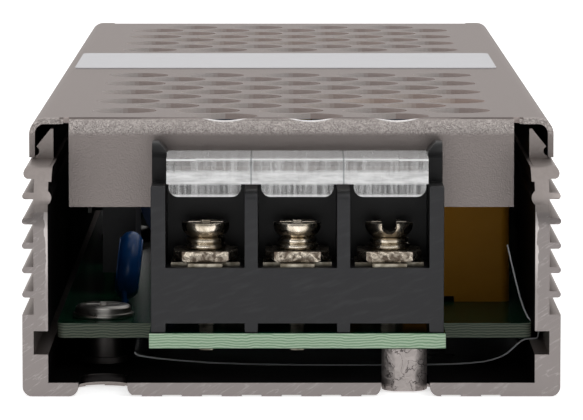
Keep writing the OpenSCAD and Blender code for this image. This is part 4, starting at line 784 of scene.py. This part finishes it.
pbt = mouldedBlack(abs(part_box("input_block")[0].y))
poleCount = {"input": 3, "output": 4}
pieces = {}
nickel = nickelPlate("nickelPlate", "#eee4d4", "#b9ad9a", 0.16, 1.4, 0.04)
pressedNickel = nickelPlate("pressedNickelPlate", "#cfc4b4", "#6d6156", 0.24, 0.6, 0.22)
tinned = nickelPlate("tinnedBrass", "#b5ae9f", "#827a6b", 0.3, 1.2, 0.08)
for side in ("input", "output"):
    block = softCopy(side + "_block", side + "TerminalBlock", rounding["moulding"], "case")
    dress(block, pbt)
    lid = softCopy(side + "_lid", side + "FlipLid", rounding["moulding"], side + "_lid")
    plates = [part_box("%s_clamp_%d" % (side, k)) for k in range(1, poleCount[side] + 1)]
    ribs = [(before[1].x + after[0].x) / 2 for before, after in zip(plates, plates[1:])]
    dress(lid, clearPolycarbonate(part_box(side + "_lid"), ribs))
    paint(tinned, side + "_contacts")
    for name in nodes:
        if name.startswith(side + "_clamp_") or name.startswith(side + "_screw_"):
            piece = softCopy(name, name.replace("_", "") + "Plated", rounding["plate"], name)
            dress(piece, nickel if "_screw_" in name else pressedNickel)
            pieces[name] = piece
# the last input screw was stopped with its driver slot towards the front
slot = {"widthMm": 1.6, "depthMm": 1.1, "reachMm": 7.0, "overMm": 1.5, "faces": 24}
head = pieces["input_screw_3"]
low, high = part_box("input_screw_3")
middle = (low + high) / 2
slotAxis = high.z - (slot["depthMm"] - slot["widthMm"] / 2) * mm
bpy.ops.object.select_all(action="DESELECT")
bpy.ops.mesh.primitive_cylinder_add(vertices=slot["faces"], radius=slot["widthMm"] / 2 * mm,
                                    depth=slot["reachMm"] * mm, location=(middle.x, middle.y, slotAxis),
                                    rotation=(math.radians(90), 0, 0))
cutter = bpy.context.object
bpy.ops.object.mode_set(mode="EDIT")
bpy.ops.mesh.select_all(action="DESELECT")
bpy.ops.object.mode_set(mode="OBJECT")
for vertex in cutter.data.vertices:
    vertex.select = (cutter.matrix_world @ vertex.co).z > slotAxis - 0.001 * mm
bpy.ops.object.mode_set(mode="EDIT")
bpy.ops.transform.translate(value=(0, 0, slot["overMm"] * mm))
bpy.ops.object.mode_set(mode="OBJECT")
cut = head.modifiers.new("driverSlot", "BOOLEAN")
cut.operation = "DIFFERENCE"
cut.object = cutter
cut.solver = "EXACT"
bpy.context.view_layer.objects.active = head
bpy.ops.object.modifier_apply(modifier=cut.name)
bpy.data.objects.remove(cutter)
print("terminal blocks dressed")

board = softCopy("circuit_board", "laminateBoardPiece", rounding["board"], "case", segments=1)
dress(board, laminateBoard(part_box("circuit_board")[1].y))
paint(insulatingFilm(), "insulating_film")
flatHead = {"headMm": 1.6, "share": 0.55}
screws = softCopy("board_screws", "boardScrewsPlated", rounding["screw"], "case")
pressFlat(screws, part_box("board_screws")[1].z - flatHead["headMm"] * mm, flatHead["share"])
dress(screws, zincPlate())
paint(zincPlate(), "transistor_clips", "diode_clips")
paint(tinned, "fuse_clips")
paint(mottled("ceramicTube", "#8f8b80", "#a29e94", 0.35, 0.8), "fuse")
paint(mottled("darkEpoxyDip", "#2c3a2f", "#3e4f41", 0.3, 0.6), "inrush_limiter")
paint(mottled("blueEpoxyDip", "#073768", "#0b4886", 0.3, 1.5, 0.04, Specular_IOR_Level=0.3),
      "safety_capacitor")
paint(mottled("yellowMouldedCase", "#bb7f1c", "#c88d28", 0.4, 2.0, Specular_IOR_Level=0.1),
      "suppression_capacitor")
paint(mottled("sinteredFerrite", "#2b2c2f", "#3c3d41", 0.6, 0.4), "choke_core", "transformer_core")
paint(mottled("enamelledCopper", "#8a431c", "#c06a30", 0.3, 0.9), "choke_windings", "output_choke")
paint(mottled("blackEpoxy", "#1c1c1e", "#2a2a2c", 0.5, 0.5), "bridge_rectifier", "power_transistors",
      "output_diodes", "surface_parts")
paint(mottled("shrinkSleeve", "#1c2a44", "#26385a", 0.28, 2.0), "bulk_capacitors", "output_capacitors")
paint(mottled("driveBoardMask", "#1b5234", "#2a6a47", 0.35, 1.0), "drive_board")
paint(mottled("polyesterTape", "#b98a1e", "#d1a02c", 0.3, 2.5), "transformer_coil")
paint(mottled("whiteMoulding", "#d8d6cf", "#e6e4de", 0.5, 1.0), "optocouplers", "trimmer_rotor")
paint(mottled("blueMoulding", "#204a86", "#2a5c9e", 0.45, 1.0), "voltage_trimmer")
paint(mottled("greenLens", "#5fa845", "#7cc25e", 0.2, 0.8), "power_lamp")
print("board and parts dressed")
